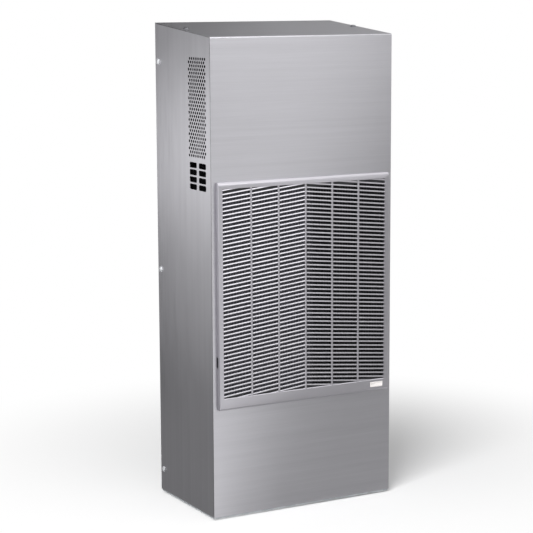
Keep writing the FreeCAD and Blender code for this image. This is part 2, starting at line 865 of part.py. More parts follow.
def slot_prism(outline):
    y = grille_nose.value - grille_face.value
    loop = [Vector(x, y, z) for x, z in outline]
    face = Part.Face(Part.makePolygon(loop + loop[:1]))
    return face.extrude(Vector(0, 3 * grille_face.value, 0))


def make_front_grille():
    """A moulded grille with a bevelled rim, hollow behind, with slots, pry notch and badge recess."""
    body = body_named("front_grille")
    reach = grille_width / 2
    seat = front - grille_seat
    rim = (grille_foot, grille_top)
    blank = pad(body, "XZ", (grille_nose, seat), rectangle, (-reach, reach), rim)
    doc.recompute()
    bevel = body.newObject("PartDesign::Chamfer", "front_grille_bevel")
    nose = [f"Edge{number}" for number, edge in enumerate(blank.Shape.Edges, 1)
            if edge.BoundBox.YMax < grille_nose.value + grille_bevel.value]
    bevel.Base = (blank, nose)
    bind(bevel, "Size", grille_bevel)
    body.Tip = bevel
    inside = reach - grille_wall
    pocket(body, "XZ", (grille_back, seat), rectangle, (-inside, inside),
           (grille_foot + grille_wall, grille_top - grille_wall))
    recess_x, recess_z = badge_place(badge_gap)
    pocket(body, "XZ", (grille_nose, grille_nose + badge_thick), rectangle, recess_x, recess_z)
    notch = block("grille_notch", (-reach - grille_wall, -inside + grille_wall), (seat - notch_depth, front),
                  (grille_foot + notch_rise, grille_foot + notch_rise + notch_height))
    piece("front_grille", cut("front_grille", body, [made("grille_slots", slat_slots()), notch]))


def badge_place(gap):
    """Ends of the badge along X and Z, widened by a gap all round."""
    right = field_width / 2 - badge_side
    low = grille_foot + badge_foot
    return (right - badge_width - gap, right + gap), (low - gap, low + badge_height + gap)


def make_grille_fittings():
    across, up = badge_place(0)
    piece("badge_plate", block("badge_plate", across, (grille_nose, grille_nose + badge_thick), up))
    clips = []
    for side in (-1, 1):
        for number, height in enumerate((grille_foot + clip_low, grille_top - clip_high)):
            middle = side * clip_side
            clips.append(block(f"clip_{side}_{number}", (middle - clip_width / 2, middle + clip_width / 2),
                               (grille_back, front + clip_reach),
                               (height - clip_thick / 2, height + clip_thick / 2)))
    piece("grille_clips", group("grille_clips", clips))


def make_filter():
    """A filter in a rim, lying against the back of the slats."""
    reach = grille_width / 2 - grille_wall - filter_gap
    low = grille_foot + filter_low
    high = grille_top - filter_high
    spread = (grille_back, grille_back + filter_thick)
    inner = (-reach + filter_rim, reach - filter_rim)
    window = (low + filter_rim, high - filter_rim)
    rim = body_named("filter_frame")
    pad(rim, "XZ", spread, rectangle, (-reach, reach), (low, high))
    pocket(rim, "XZ", spread, rectangle, inner, window)
    piece("filter_frame", rim)
    piece("filter_media", block("filter_media", inner, spread, window))


# Coils

def coil_heights(foot, passes):
    return [foot + coil_margin + number * tube_pitch for number in range(passes)]


def coil_rows(coil_front):
    return [coil_front + row_inset, coil_front + row_inset + row_pitch]


def coil_bores(name, width, coil_front, foot, passes):
    """Bars that cut the tube holes of a coil."""
    bores = []
    for row, along in enumerate(coil_rows(coil_front)):
        for number, height in enumerate(coil_heights(foot, passes)):
            bores.append(rod(f"{name}_bore_{row}_{number}", "X", (along, height), tube_radius + fit,
                             (-width / 2 - 2 * metal, width / 2 + 2 * metal)))
    return bores


def serpentine(width, coil_front, foot, passes):
    """One tube: down the first row, across, and up the second row, ending on the left."""
    near = width.value / 2 + metal.value + metal.value
    rows = [row.value for row in coil_rows(coil_front)]
    heights = [height.value for height in coil_heights(foot, passes)]
    stops = [(rows[0], height) for height in reversed(heights)] + [(rows[1], height) for height in heights]
    left = -near - tube_stub.value
    edges = []
    for number, (along, height) in enumerate(stops):
        heading = 1 if number % 2 == 0 else -1
        start = Vector(-near * heading, along, height)
        end = Vector(near * heading, along, height)
        if number == 0:
            start.x = left
        if number == len(stops) - 1:
            end.x = left
        edges.append(Part.LineSegment(start, end).toShape())
        if number < len(stops) - 1:
            following = Vector(end.x, *stops[number + 1])
            bulge = Vector(heading * (following - end).Length / 2, 0, 0)
            edges.append(Part.Arc(end, (end + following) / 2 + bulge, following).toShape())
    return Part.Wire(edges)


def make_coil(name, width, coil_front, foot, passes, plate_foot, plate_top, plate_back):
    """A fin pack, its one serpentine tube and the two end plates that carry it."""
    tools = coil_bores(name, width, coil_front, foot, passes)
    top = foot + 2 * coil_margin + (passes - 1) * tube_pitch
    fins = block(name + "_fin_block", (-width / 2, width / 2),
                 (coil_front, coil_front + coil_depth), (foot, top))
    piece(name + "_fins", cut(name + "_fins", fins, tools))
    plates = []
    for side in (-1, 1):
        across = between(side * width / 2, side * (width / 2 + metal))
        plates.append(block(f"{name}_plate_{side}", across, (coil_front, plate_back),
                            (plate_foot, plate_top)))
    plate_bores = coil_bores(name + "_plate", width, coil_front, foot, passes)
    piece(name + "_end_plates", cut(name + "_end_plates", group(name + "_plates", plates), plate_bores))
    tube = round_bar(serpentine(width, coil_front, foot, passes), tube_radius)
    piece(name + "_tube", made(name + "_tube", tube))


def make_condenser():
    make_coil("condenser", condenser_width, condenser_front, condenser_foot, condenser_passes,
              condenser_foot, shelf_height, partition_front)
    wide = condenser_width / 2 + metal
    piece("plenum_floor", block("plenum_floor", (-wide, wide), (condenser_front, partition_front),
                                (condenser_foot - metal, condenser_foot)))
    wide = inner_half - fit
    piece("condenser_shelf", block("condenser_shelf", (-wide, wide), (cover_back + metal + fit, deck_front),
                                   (shelf_height, shelf_height + metal)))
    top = roof(deck_front) - 2 * metal - fit
    deck = block("deck_sheet", (-wide, wide), (deck_front, deck_front + metal), (shelf_height, top))
    eye = rod("deck_eye", "Y", (0, fan_height), impeller_eye - ring_eye_gap,
              (deck_front - metal, deck_front + 2 * metal))
    piece("condenser_fan_deck", cut("condenser_fan_deck", deck, [eye]))


def make_evaporator():
    tray_floor = tray_foot + metal
    top = evaporator_foot + 2 * coil_margin + (evaporator_passes - 1) * tube_pitch
    make_coil("evaporator", evaporator_width, evaporator_front, evaporator_foot, evaporator_passes,
              tray_floor, top, plate_front - metal - fit)
    wide = evaporator_width / 2 + metal
    piece("evaporator_baffle", block("evaporator_baffle", (-wide, wide),
                                     (evaporator_front, plate_front), (top, top + metal)))


def make_drain():
    """The tray under the evaporator and the pipe that empties it through the floor."""
    body = body_named("drain_tray")
    wide = evaporator_width / 2 + tray_lap
    depth = (evaporator_front - tray_lead, plate_front)
    pad(body, "XY", (tray_foot, tray_foot + tray_height), rectangle, (-wide, wide), depth)
    pocket(body, "XY", (tray_foot + metal, tray_foot + tray_height), rectangle,
           (-wide + metal, wide - metal), (depth[0] + metal, depth[1] - metal))
    pocket(body, "XY", (tray_foot, tray_foot + metal), circle, drain_side, drain_y, drain_bore)
    piece("drain_tray", body)
    pipe = turned("drain_pipe", "Z", [[
        (drain_bore, metal), (drain_radius, metal), (drain_radius, tray_foot), (drain_bore, tray_foot)]])
    place(pipe, drain_side, drain_y, 0)
    piece("drain_pipe", pipe)


# Fans: the motor sits at the -Y end and air enters from +Y

def make_fan(name, motor_seat, ring_seat):
    hub_face = motor_seat + motor_length + motor_boss_length + impeller_gap
    bore = shaft_radius + shaft_running
    motor_end = motor_length + motor_boss_length
    motor = turned(name + "_motor", "Y", [[
        (0, 0), (motor_radius, 0), (motor_radius, motor_length), (motor_boss_radius, motor_length),
        (motor_boss_radius, motor_end), (bore, motor_end), (bore, shaft_end_gap / 2),
        (0, shaft_end_gap / 2)]])
    place(motor, 0, motor_seat, fan_height)
    piece(name + "_motor", motor)
    shaft_far = hub_face + hub_length + shaft_past_hub
    piece(name + "_shaft", rod(name + "_shaft", "Y", (0, fan_height), shaft_radius,
                               (motor_seat + shaft_end_gap, shaft_far)))
    make_impeller(name + "_impeller", hub_face)
    make_inlet_ring(name + "_inlet_ring", hub_face + impeller_depth - ring_entry, ring_seat)


def make_impeller(name, hub_face):
    """A backward-leaning centrifugal wheel: hub disc, flat blades and an eye ring."""
    bore = shaft_radius + shaft_seat
    eye_face = impeller_depth - impeller_sheet
    body = turned(name, "Y", [[
        (bore, 0), (impeller_radius, 0), (impeller_radius, impeller_sheet), (hub_radius, impeller_sheet),
        (hub_radius, hub_length), (bore, hub_length)]])
    blade_half = impeller_sheet / 2
    blade = pad(body, "XZ", (impeller_sheet / 2, eye_face + impeller_sheet / 2), polygon, [
        (impeller_eye, -blade_half), (blade_reach, blade_lean - blade_half),
        (blade_reach, blade_lean + blade_half), (impeller_eye, blade_half)])
    pattern = body.newObject("PartDesign::PolarPattern", name + "_blades")
    pattern.Originals = [blade]
    pattern.Axis = (origin_feature(body, "Y_Axis"), [""])
    pattern.Angle = 360
    pattern.Occurrences = blade_count
    body.Tip = pattern
    sketch = sketch_on(body, "XY", 0)
    polygon(sketch, [(impeller_eye, eye_face), (impeller_radius, eye_face),
                     (impeller_radius, impeller_depth), (impeller_eye, impeller_depth)])
    ring = body.newObject("PartDesign::Revolution", name + "_eye_ring")
    ring.Profile = sketch
    ring.ReferenceAxis = (sketch, ["V_Axis"])
    ring.Angle = 360
    place(body, 0, hub_face, fan_height)
    piece(name, body)


def make_inlet_ring(name, mouth, seat):
    """A spun inlet ring: a flange on its plate and a neck that enters the impeller eye."""
    outer = impeller_eye - ring_eye_gap
    inner = outer - ring_wall
    neck = mouth - seat
    ring = turned(name, "Y", [[
        (inner, neck), (outer, neck), (outer, -ring_wall), (ring_flange, -ring_wall), (ring_flange, 0),
        (inner, 0)]])
    place(ring, 0, seat, fan_height)
    piece(name, ring)


def make_fan_bracket():
    """A plate on four standoffs that holds the condenser motor in front of the deck."""
    reach = standoff_spread / 2 + bracket_margin
    plate = block("bracket_plate", (-reach, reach), (bracket_front, bracket_back),
                  (fan_height - reach, fan_height + reach))
    windows = []
    standoffs = []
    window_side = motor_radius + bracket_window_gap + bracket_window
    for side in (-1, 1):
        for level in (-1, 1):
            across = side * standoff_spread / 2
            height = fan_height + level * standoff_spread / 2
            standoffs.append(rod(f"standoff_{side}_{level}", "Y", (across, height), standoff_radius,
                                 (bracket_back, deck_front)))
        windows.append(rod(f"bracket_window_{side}", "Y", (side * window_side, fan_height), bracket_window,
                           (front, bracket_back + bracket_sheet)))
    piece("condenser_fan_standoffs", group("condenser_fan_standoffs", standoffs))
    piece("condenser_motor_bracket", cut("condenser_motor_bracket", plate, windows))


# Compressor and refrigerant lines

def make_compressor():
    foot_top = metal + grommet_height + foot_sheet
    shell = turned("compressor_shell", "Z", [[
        (0, foot_top), (compressor_radius, foot_top), (compressor_radius, compressor_top - compressor_crown),
        (compressor_radius - compressor_crown, compressor_top), (0, compressor_top)]])
    place(shell, compressor_x, compressor_y, 0)
    piece("compressor_shell", shell)
    plate = block("foot_sheet", (compressor_x - foot_width / 2, compressor_x + foot_width / 2),
                  (compressor_y - foot_length / 2, compressor_y + foot_length / 2),
                  (foot_top - foot_sheet, foot_top))
    holes = []
    grommets = []
    studs = []
    for side in (-1, 1):
        for end in (-1, 1):
            mark = f"{side}_{end}"
            spot = (compressor_x + side * (foot_width / 2 - foot_inset),
                    compressor_y + end * (foot_length / 2 - foot_inset))
            holes.append(rod("foot_hole_" + mark, "Z", spot, stud_radius + fit, (metal, foot_top + metal)))
            grommet = rod("grommet_" + mark, "Z", spot, grommet_radius, (metal, foot_top - foot_sheet))
            bore = rod("grommet_bore_" + mark, "Z", spot, stud_radius + fit, (0, foot_top))
            grommets.append(cut("grommet_ring_" + mark, grommet, [bore]))
            nut = rod("nut_" + mark, "Z", spot, stud_nut_radius, (foot_top, foot_top + stud_nut_height))
            shank = rod("stud_" + mark, "Z", spot, stud_radius, (metal, foot_top + stud_nut_height))
            studs.append(join("stud_nut_" + mark, [shank, nut]))
    piece("compressor_foot_plate", cut("compressor_foot_plate", plate, holes))
    piece("compressor_grommets", group("compressor_grommets", grommets))
    piece("compressor_bolts", group("compressor_bolts", studs))
    box = block("terminal_cap", (compressor_x, compressor_x + compressor_radius + cover_reach),
                (compressor_y - cover_width / 2, compressor_y + cover_width / 2),
                (cover_foot, cover_foot + cover_height))
    hollow = rod("terminal_cap_seat", "Z", (compressor_x, compressor_y), compressor_radius + fit,
                 (cover_foot - metal, cover_foot + cover_height + metal))
    piece("compressor_terminal_cover", cut("compressor_terminal_cover", box, [hollow]))


def make_lines():
    """Hot gas to the condenser, liquid through the drier and capillary, and suction back."""
    front_row, rear_row = coil_rows(condenser_front)
    cold_row, warm_row = coil_rows(evaporator_front)
    condenser_end = -condenser_width / 2 - 2 * metal - tube_stub
    evaporator_end = -evaporator_width / 2 - 2 * metal - tube_stub
    condenser_high = coil_heights(condenser_foot, condenser_passes)[-1]
    evaporator_high = coil_heights(evaporator_foot, evaporator_passes)[-1]
    drier_top = drier_foot + drier_length
    discharge_x = discharge_inset - inner_half
    stub_x = compressor_x - discharge_stub
    suction_x = compressor_x + suction_stub
    suction_y = compressor_y + line_rise
    routes = {
        "discharge_line": (discharge_radius, line_bend, [
            (stub_x, front_row, compressor_top), (stub_x, front_row, suction_height),
            (discharge_x, front_row, suction_height), (discharge_x, front_row, condenser_high),
            (condenser_end, front_row, condenser_high)]),
        "liquid_line": (discharge_radius, line_bend, [
            (condenser_end, rear_row, condenser_high), (line_x, rear_row, condenser_high),
            (line_x, drier_y, condenser_high), (line_x, drier_y, drier_top)]),
        "capillary_tube": (capillary_radius, capillary_bend, [
            (line_x, drier_y, drier_foot), (line_x, drier_y, capillary_height),
            (line_x, cold_row, capillary_height), (line_x, cold_row, evaporator_high),
            (evaporator_end, cold_row, evaporator_high)]),
        "suction_line": (suction_radius, suction_bend, [
            (evaporator_end, warm_row, evaporator_high), (line_x, warm_row, evaporator_high),
            (line_x, warm_row, suction_height), (line_x, suction_y, suction_height),
            (suction_x, suction_y, suction_height), (suction_x, suction_y, compressor_top)]),
    }
    for name, (radius, bend, corners) in routes.items():
        piece(name, made(name, round_bar(line_path(corners, bend), radius)))
    drier = turned("filter_drier", "Z", [[
        (0, 0), (discharge_radius, 0), (drier_radius, drier_neck), (drier_radius, drier_length - drier_neck),
        (discharge_radius, drier_length), (0, drier_length)]])
    place(drier, line_x, drier_y, drier_foot)
    piece("filter_drier", drier)


def make_line_grommets():
    """Rubber rings that line the two holes in the partition."""
    rings = []
    for name, radius, height in (("suction_ring", suction_radius, suction_height),
                                 ("capillary_ring", capillary_radius, capillary_height)):
        bore = radius + fit
        neck = radius + grommet_wall
        rim = neck + grommet_lip
        ring = turned(name, "Y", [[
            (bore, -grommet_lip), (rim, -grommet_lip), (rim, 0), (neck, 0), (neck, metal), (rim, metal),
            (rim, metal + grommet_lip), (bore, metal + grommet_lip)]])
        place(ring, line_x, partition_front, height)
        rings.append(ring)
    piece("line_grommets", group("line_grommets", rings))


# Electrical parts

def make_control_box():
    """A box on the floor, open to the front, with its lid and what it holds."""
    right = inner_half - box_side_gap
    box_left = right - box_width
    near = front + box_depth
    far = near + box_length
    top = metal + box_height
    wall = block("box_outside", (box_left, right), (near, far), (metal, top))
    room = block("box_inside", (box_left + box_sheet, right - box_sheet), (near - box_sheet, far - box_sheet),
                 (metal + box_sheet, top - box_sheet))
    piece("control_box", cut("control_box", wall, [room]))
    piece("control_box_lid", block("control_box_lid", (box_left - lid_lap, right + lid_lap),
                                   (near - box_sheet, near), (metal, top + lid_lap)))
    floor = metal + box_sheet
    rear = far - box_sheet
    piece("run_capacitor", rod("run_capacitor", "Z", (box_left + capacitor_inset, near + box_length / 2),
                               capacitor_radius, (floor, floor + capacitor_height)))
    contactor_left = right - box_sheet - contactor_width - 2 * box_sheet
    piece("contactor", block("contactor", (contactor_left, contactor_left + contactor_width),
                             (rear - contactor_depth, rear),
                             (contactor_foot, contactor_foot + contactor_height)))
    terminal_left = right - terminal_width - 4 * box_sheet
    strip = block("terminal_strip", (terminal_left, terminal_left + terminal_width),
                  (rear - terminal_depth, rear), (terminal_foot, terminal_foot + terminal_height))
    wells = []
    for number in range(terminal_count):
        across = terminal_left + terminal_width * (number + 0.5) / terminal_count
        wells.append(rod(f"terminal_well_{number}", "Y", (across, terminal_foot + terminal_height / 2),
                         terminal_well, (rear - 2 * terminal_depth, rear - terminal_depth / 2)))
    piece("terminal_block", cut("terminal_block", strip, wells))


def make_power_gland():
    """A bushing through the back plate for the supply lead, held by a nut inside."""
    gland = turned("power_gland", "Y", [[
        (gland_bore, -gland_length), (gland_radius, -gland_length), (gland_radius, 0), (gland_flange, 0),
        (gland_flange, gland_lip), (gland_bore, gland_lip)]])
    place(gland, gland_side, back, gland_height)
    piece("power_gland", gland)
    nut = turned("gland_locknut", "Y", [[
        (gland_radius + fit, -locknut_thick), (locknut_radius, -locknut_thick), (locknut_radius, 0),
        (gland_radius + fit, 0)]])
    place(nut, gland_side, plate_front, gland_height)
    piece("gland_locknut", nut)


def make_thermostat():
    """A control in a cup sunk into the back plate, so that its knob stays behind the gasket face."""
    reach = cup_width / 2
    floor_back = plate_front - cup_depth
    spindle_hole = spindle_radius + shaft_running
    body = body_named("thermostat_cup")
    rim = reach + cup_rim
    pad(body, "XZ", (-cup_sheet, 0), rectangle, (-rim, rim), (-rim, rim))
    pad(body, "XZ", (-cup_depth, 0), rectangle, (-reach, reach), (-reach, reach))
    room = reach - cup_sheet
    pocket(body, "XZ", (cup_sheet - cup_depth, 0), rectangle, (-room, room), (-room, room))
    pocket(body, "XZ", (-cup_depth, cup_sheet - cup_depth), circle, 0, 0, spindle_hole)
    place(body, thermostat_side, plate_front, thermostat_height)
    piece("thermostat_cup", body)
    box = body_named("thermostat_body")
    wide = thermostat_box / 2
    pad(box, "XZ", (-thermostat_length, 0), rectangle, (-wide, wide), (-wide, wide))
    pocket(box, "XZ", (-spindle_reach - shaft_end_gap, 0), circle, 0, 0, spindle_hole)
    place(box, thermostat_side, floor_back, thermostat_height)
    piece("thermostat_body", box)
    knob_back = floor_back + cup_sheet + dial_gap
    make_knob(knob_back)
    piece("thermostat_spindle", rod("thermostat_spindle", "Y", (thermostat_side, thermostat_height),
                                    spindle_radius, (floor_back - spindle_reach, knob_back + dial_thick / 2)))


def make_knob(knob_back):
    """A round dial with a finger bar across it."""
    bore = spindle_radius + shaft_seat
    skirt = dial_thick - dial_grip_height
    body = turned("thermostat_knob", "Y", [[
        (bore, 0), (dial_radius, 0), (dial_radius, skirt - dial_gap), (dial_radius - dial_gap, skirt),
        (0, skirt), (0, dial_thick / 2), (bore, dial_thick / 2)]])
    pad(body, "XZ", (dial_thick / 2, dial_thick), rectangle, (-dial_grip / 2, dial_grip / 2),
        (dial_gap - dial_radius, dial_radius - dial_gap))
    place(body, thermostat_side, knob_back, thermostat_height)
    piece("thermostat_knob", body)


def write_parts():
    """Check every object, then write one file for each sub-part."""
    doc.recompute()
    for thing in doc.Objects:
        if "Invalid" in thing.State or "Error" in thing.State:
            raise RuntimeError(f"{thing.Name} failed: {thing.State}")
    for name, thing in pieces:
        if thing.Shape.isNull() or not thing.Shape.isValid():
            raise RuntimeError(f"{name} has no valid shape")
    os.makedirs("parts", exist_ok=True)
    for name, thing in pieces:
        thing.Shape.exportStep(f"parts/{name}.step")
        print(name, len(thing.Shape.Solids), round(thing.Shape.Volume))


make_front_cover()
make_side_panel("left_side_panel", -1)
make_side_panel("right_side_panel", 1)
make_base_pan()
make_corner_rails()
make_back_plate()
make_mounting_gasket()
make_mounting_inserts()
make_case_screws()
make_partition()
make_front_grille()
make_grille_fittings()
make_filter()
make_condenser()
make_evaporator()
make_drain()
make_fan("condenser", bracket_back, deck_front)
make_fan("evaporator", partition_back, plate_front)
make_fan_bracket()
make_compressor()
make_lines()
make_line_grommets()
make_control_box()
make_power_gland()
make_thermostat()
write_parts()
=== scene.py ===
# %% [markdown]
# # An enclosure air conditioner, finished in Blender
# The object is a tall cooling unit that bolts to the side of an equipment cabinet. Its case is brushed
# stainless sheet, a moulded grille covers the intake, and the two air openings are in its back.
# The construction model is loaded first as a fixed frame. Everything below gives that frame its
# finishes, or puts a finer piece where a plain solid stands, so no size of the object changes here.

# %% Load the fixed frame
import json
import math
import bmesh
import bpy
from mathutils import Matrix, Vector


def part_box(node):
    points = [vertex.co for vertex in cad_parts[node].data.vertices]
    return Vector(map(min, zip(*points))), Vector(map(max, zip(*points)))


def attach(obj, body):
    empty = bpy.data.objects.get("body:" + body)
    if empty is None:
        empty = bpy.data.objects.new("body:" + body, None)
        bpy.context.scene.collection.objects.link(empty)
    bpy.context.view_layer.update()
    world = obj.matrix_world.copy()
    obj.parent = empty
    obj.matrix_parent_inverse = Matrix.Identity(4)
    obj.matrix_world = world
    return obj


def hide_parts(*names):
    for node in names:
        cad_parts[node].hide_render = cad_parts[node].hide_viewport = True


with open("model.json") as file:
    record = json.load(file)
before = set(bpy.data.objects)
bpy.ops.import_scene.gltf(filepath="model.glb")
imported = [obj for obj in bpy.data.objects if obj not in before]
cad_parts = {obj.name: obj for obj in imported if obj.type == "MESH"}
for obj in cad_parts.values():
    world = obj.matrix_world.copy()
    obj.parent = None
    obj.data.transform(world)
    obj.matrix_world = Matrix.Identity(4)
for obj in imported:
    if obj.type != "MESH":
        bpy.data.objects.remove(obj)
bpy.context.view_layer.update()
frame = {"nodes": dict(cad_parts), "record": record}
scene = bpy.context.scene
mm = 0.001

# %% [markdown]
# ## Two small helpers
# A colour is written as the hex code that a paint chart or a screen shows, which is sRGB, while a shader
# works in linear light, so one function turns one into the other. Every node tree in this lesson, for
# materials and for shapes alike, is built with a second function that adds one node, sets it and links it.

# %% A colour and a node
def linear(code):
    """Turn an sRGB hex colour into the linear values that a shader takes."""
    steps = [int(code[place:place + 2], 16) / 255 for place in (1, 3, 5)]
    return [s / 12.92 if s <= 0.04045 else ((s + 0.055) / 1.055) ** 2.4 for s in steps] + [1.0]


def node(tree, kind, links=None, **settings):
    """Add one node, make its settings, then fill each input with a value or a link."""
    added = tree.nodes.new(kind)
    for name, value in settings.items():
        setattr(added, name, value)
    for socket, value in (links or {}).items():
        if isinstance(value, bpy.types.NodeSocket):
            tree.links.new(value, added.inputs[socket])
        else:
            added.inputs[socket].default_value = value
    return added


print("mid grey", [round(v, 3) for v in linear("#808080")])

# %% [markdown]
# ## The camera
# The unit is seen from its front left corner and a little from above, through a long lens, so its upright
# edges hardly converge. The place and turn of the camera were worked out from the corners of the case,
# whose real distances are known. The focal length is given in pixels of the 533 pixel image, the place
# in millimetres and the angles in degrees.

# %% Camera
image_size = 533
focal_pixels = 1711.65
camera_place = (-1610.1, -2851.5, 968.2)
camera_turn, camera_dip, camera_roll = -29.166, 9.022, -0.261
lens = bpy.data.cameras.new("photo_camera")
lens.sensor_width = 36
lens.lens = focal_pixels / image_size * lens.sensor_width
camera = bpy.data.objects.new("photo_camera", lens)
scene.collection.objects.link(camera)
place = Matrix.Translation([v * mm for v in camera_place])
azimuth = Matrix.Rotation(math.radians(camera_turn), 4, "Z")
tilt = Matrix.Rotation(math.radians(90 - camera_dip), 4, "X")
roll = Matrix.Rotation(math.radians(camera_roll), 4, "Z")
camera.matrix_world = place @ azimuth @ tilt @ roll
scene.camera = camera
scene.view_settings.view_transform = "Standard"
print("lens", round(lens.lens, 1), "mm")

# %% [markdown]
# ## The studio
# Brushed metal looks like whatever stands round it, so the surroundings matter as much as the lamps. The
# background is white paper: the world and the floor show white to the camera and in reflections, and give
# a plainer light to everything else. Two soft lamps hang above the unit and to its left. They light what
# is dull and throw the shadow, and reflections do not see them. Grey cards that only reflections can see
# do what a photographer's flags do: they shade one side of a shiny panel. One more card is brighter than
# the paper and gives the grille's slats their shine.

# %% White world and paper floor
def sees_paper(tree):
    """1 for the rays that show the surroundings: camera, glossy and transmission rays."""
    rays = node(tree, "ShaderNodeLightPath").outputs
    seen = node(tree, "ShaderNodeMath", {0: rays["Is Camera Ray"], 1: rays["Is Glossy Ray"]},
                operation="ADD")
    return node(tree, "ShaderNodeMath", {0: seen.outputs[0], 1: rays["Is Transmission Ray"]},
                operation="ADD", use_clamp=True).outputs[0]


scene.world = bpy.data.worlds.new("white_studio")
scene.world.use_nodes = True
sky = scene.world.node_tree
sky.nodes.clear()
soft = node(sky, "ShaderNodeBackground", {"Color": linear("#FFFFFF"), "Strength": 0.30})
# Reflections see a ceiling that is brighter overhead than the paper at eye level.
up = node(sky, "ShaderNodeSeparateXYZ", {0: node(sky, "ShaderNodeTexCoord").outputs["Generated"]})
ceiling = node(sky, "ShaderNodeMapRange", {"Value": up.outputs["Z"], "From Min": 0.15, "From Max": 0.75,
                                           "To Min": 1.0, "To Max": 1.5})
white = node(sky, "ShaderNodeBackground", {"Color": linear("#FFFFFF"), "Strength": ceiling.outputs[0]})
both = node(sky, "ShaderNodeMixShader", {0: sees_paper(sky), 1: soft.outputs[0], 2: white.outputs[0]})
node(sky, "ShaderNodeOutputWorld", {"Surface": both.outputs[0]})

paper = bpy.data.materials.new("white_paper")
paper.use_nodes = True
tree = paper.node_tree
tree.nodes.clear()
dull = node(tree, "ShaderNodeBsdfDiffuse", {"Color": linear("#F8F8F8")})
glow = node(tree, "ShaderNodeEmission", {"Color": linear("#FFFFFF"), "Strength": 1.0})
# Near the unit, on the side where its shadow falls, the paper keeps its shades; further off it goes over
# to plain white.
shade_middle, shade_near, shade_far = (0.15, 0.19, 0), 0.12, 0.89
reach = node(tree, "ShaderNodeVectorMath", {
    0: node(tree, "ShaderNodeTexCoord").outputs["Object"], 1: shade_middle}, operation="DISTANCE")
fade = node(tree, "ShaderNodeMapRange", {
    "Value": reach.outputs["Value"], "From Min": shade_near, "From Max": shade_far},
    interpolation_type="SMOOTHSTEP")
share = node(tree, "ShaderNodeMath", {0: sees_paper(tree), 1: fade.outputs[0]}, operation="MULTIPLY")
both = node(tree, "ShaderNodeMixShader", {0: share.outputs[0], 1: dull.outputs[0], 2: glow.outputs[0]})
node(tree, "ShaderNodeOutputMaterial", {"Surface": both.outputs[0]})


def flat_sheet(name, corners, material):
    """One four-cornered face that belongs to the stage and not to the object."""
    mesh = bpy.data.meshes.new(name)
    mesh.from_pydata(corners, [], [(0, 1, 2, 3)])
    mesh.materials.append(material)
    sheet = bpy.data.objects.new(name, mesh)
    scene.collection.objects.link(sheet)
    return sheet


# The paper lies a little below the foot, which leaves a thin dark line under the base.
floor_reach, floor_drop = 60, 3.0 * mm
floor_corners = [(x * floor_reach, y * floor_reach, -floor_drop)
                 for x, y in ((-1, -1), (1, -1), (1, 1), (-1, 1))]
flat_sheet("paper_floor", floor_corners, paper)
print("floor", 2 * floor_reach, "m wide")

# %% Two soft lamps
lamp_aim = Vector((0, 0, 0.45))


def soft_lamp(name, place, width, watts):
    """A square soft lamp that points at the middle of the unit."""
    light = bpy.data.lights.new(name, "AREA")
    light.size = width
    light.energy = watts
    lamp = bpy.data.objects.new(name, light)
    scene.collection.objects.link(lamp)
    aim = (lamp_aim - Vector(place)).to_track_quat("-Z", "Y")
    lamp.matrix_world = Matrix.Translation(place) @ aim.to_matrix().to_4x4()
    lamp.visible_camera = False
    lamp.visible_glossy = False
    print(name, watts, "W at", place)


soft_lamp("overhead_softbox", (0.2, -0.7, 2.7), 2.8, 16)
soft_lamp("left_softbox", (-1.7, -1.5, 2.3), 1.4, 86)

# %% Grey cards for the reflections
def grey_card(name, corners, slope, stops, across=(0, 1, 0), ends=(0, 1, 1, 1)):
    """A card that only reflections see; its level goes through stops one way and fades the other way.

    ends says where the fade starts and stops, then the strength at each of the two places.
    """
    card = bpy.data.materials.new(name)
    card.use_nodes = True
    tree = card.node_tree
    tree.nodes.clear()
    spot = node(tree, "ShaderNodeTexCoord").outputs["Object"]
    along = node(tree, "ShaderNodeVectorMath", {0: spot, 1: slope}, operation="DOT_PRODUCT")
    start, end = stops[0][0], stops[-1][0]
    share = node(tree, "ShaderNodeMapRange", {"Value": along.outputs["Value"], "From Min": start,
                                              "From Max": end})
    ramp = node(tree, "ShaderNodeValToRGB", {"Fac": share.outputs[0]})
    points = ramp.color_ramp.elements
    while len(points) < len(stops):
        points.new(0.5)
    for point, (spot_along, level) in zip(points, stops):
        point.position = (spot_along - start) / (end - start)
        point.color = (level, level, level, 1)
    sideways = node(tree, "ShaderNodeVectorMath", {0: spot, 1: across}, operation="DOT_PRODUCT")
    fade = node(tree, "ShaderNodeMapRange", {"Value": sideways.outputs["Value"], "From Min": ends[0],
                                             "From Max": ends[1], "To Min": ends[2], "To Max": ends[3]})
    light = node(tree, "ShaderNodeEmission", {"Color": ramp.outputs[0], "Strength": fade.outputs[0]})
    node(tree, "ShaderNodeOutputMaterial", {"Surface": light.outputs[0]})
    sheet = flat_sheet(name, corners, card)
    sheet.visible_camera = False
    sheet.visible_diffuse = False
    sheet.visible_shadow = False
    sheet.visible_transmission = False
    print(name, "goes through", [level for _, level in stops])


# Corners are in metres. A stop is a distance along the slope, in metres, and the level there; 1 is white.
grey_card("card_front", [(-0.6, -1.2, 0), (2.6, -1.2, 0), (2.6, -1.2, 1.0), (-0.6, -1.2, 1.0)],
          (1, 0, -0.8), [(-0.2, 0.44), (-0.08, 0.56), (0.05, 0.88), (0.14, 1.30), (0.22, 1.5), (0.28, 1.45),
                         (0.34, 0.62), (0.42, 0.08), (0.56, 0.06), (0.85, 0.50), (1.3, 0.2)])
grey_card("card_front_high", [(0.6, -1.2, 1.0), (2.6, -1.2, 1.0), (2.6, -1.2, 2.6), (1.4, -1.2, 2.6)],
          (1, 0, 0), [(0.6, 0.8), (1.5, 0.6)])
grey_card("card_slats", [(0.4, -2.5, 1.6), (1.65, -2.5, 1.6), (1.65, -2.5, 3.0), (0.4, -2.5, 3.0)],
          (1, 0, 0), [(0.4, 1.0), (1.65, 1.0)], (0, 0, 1), (0, 1, 3.4, 3.4))
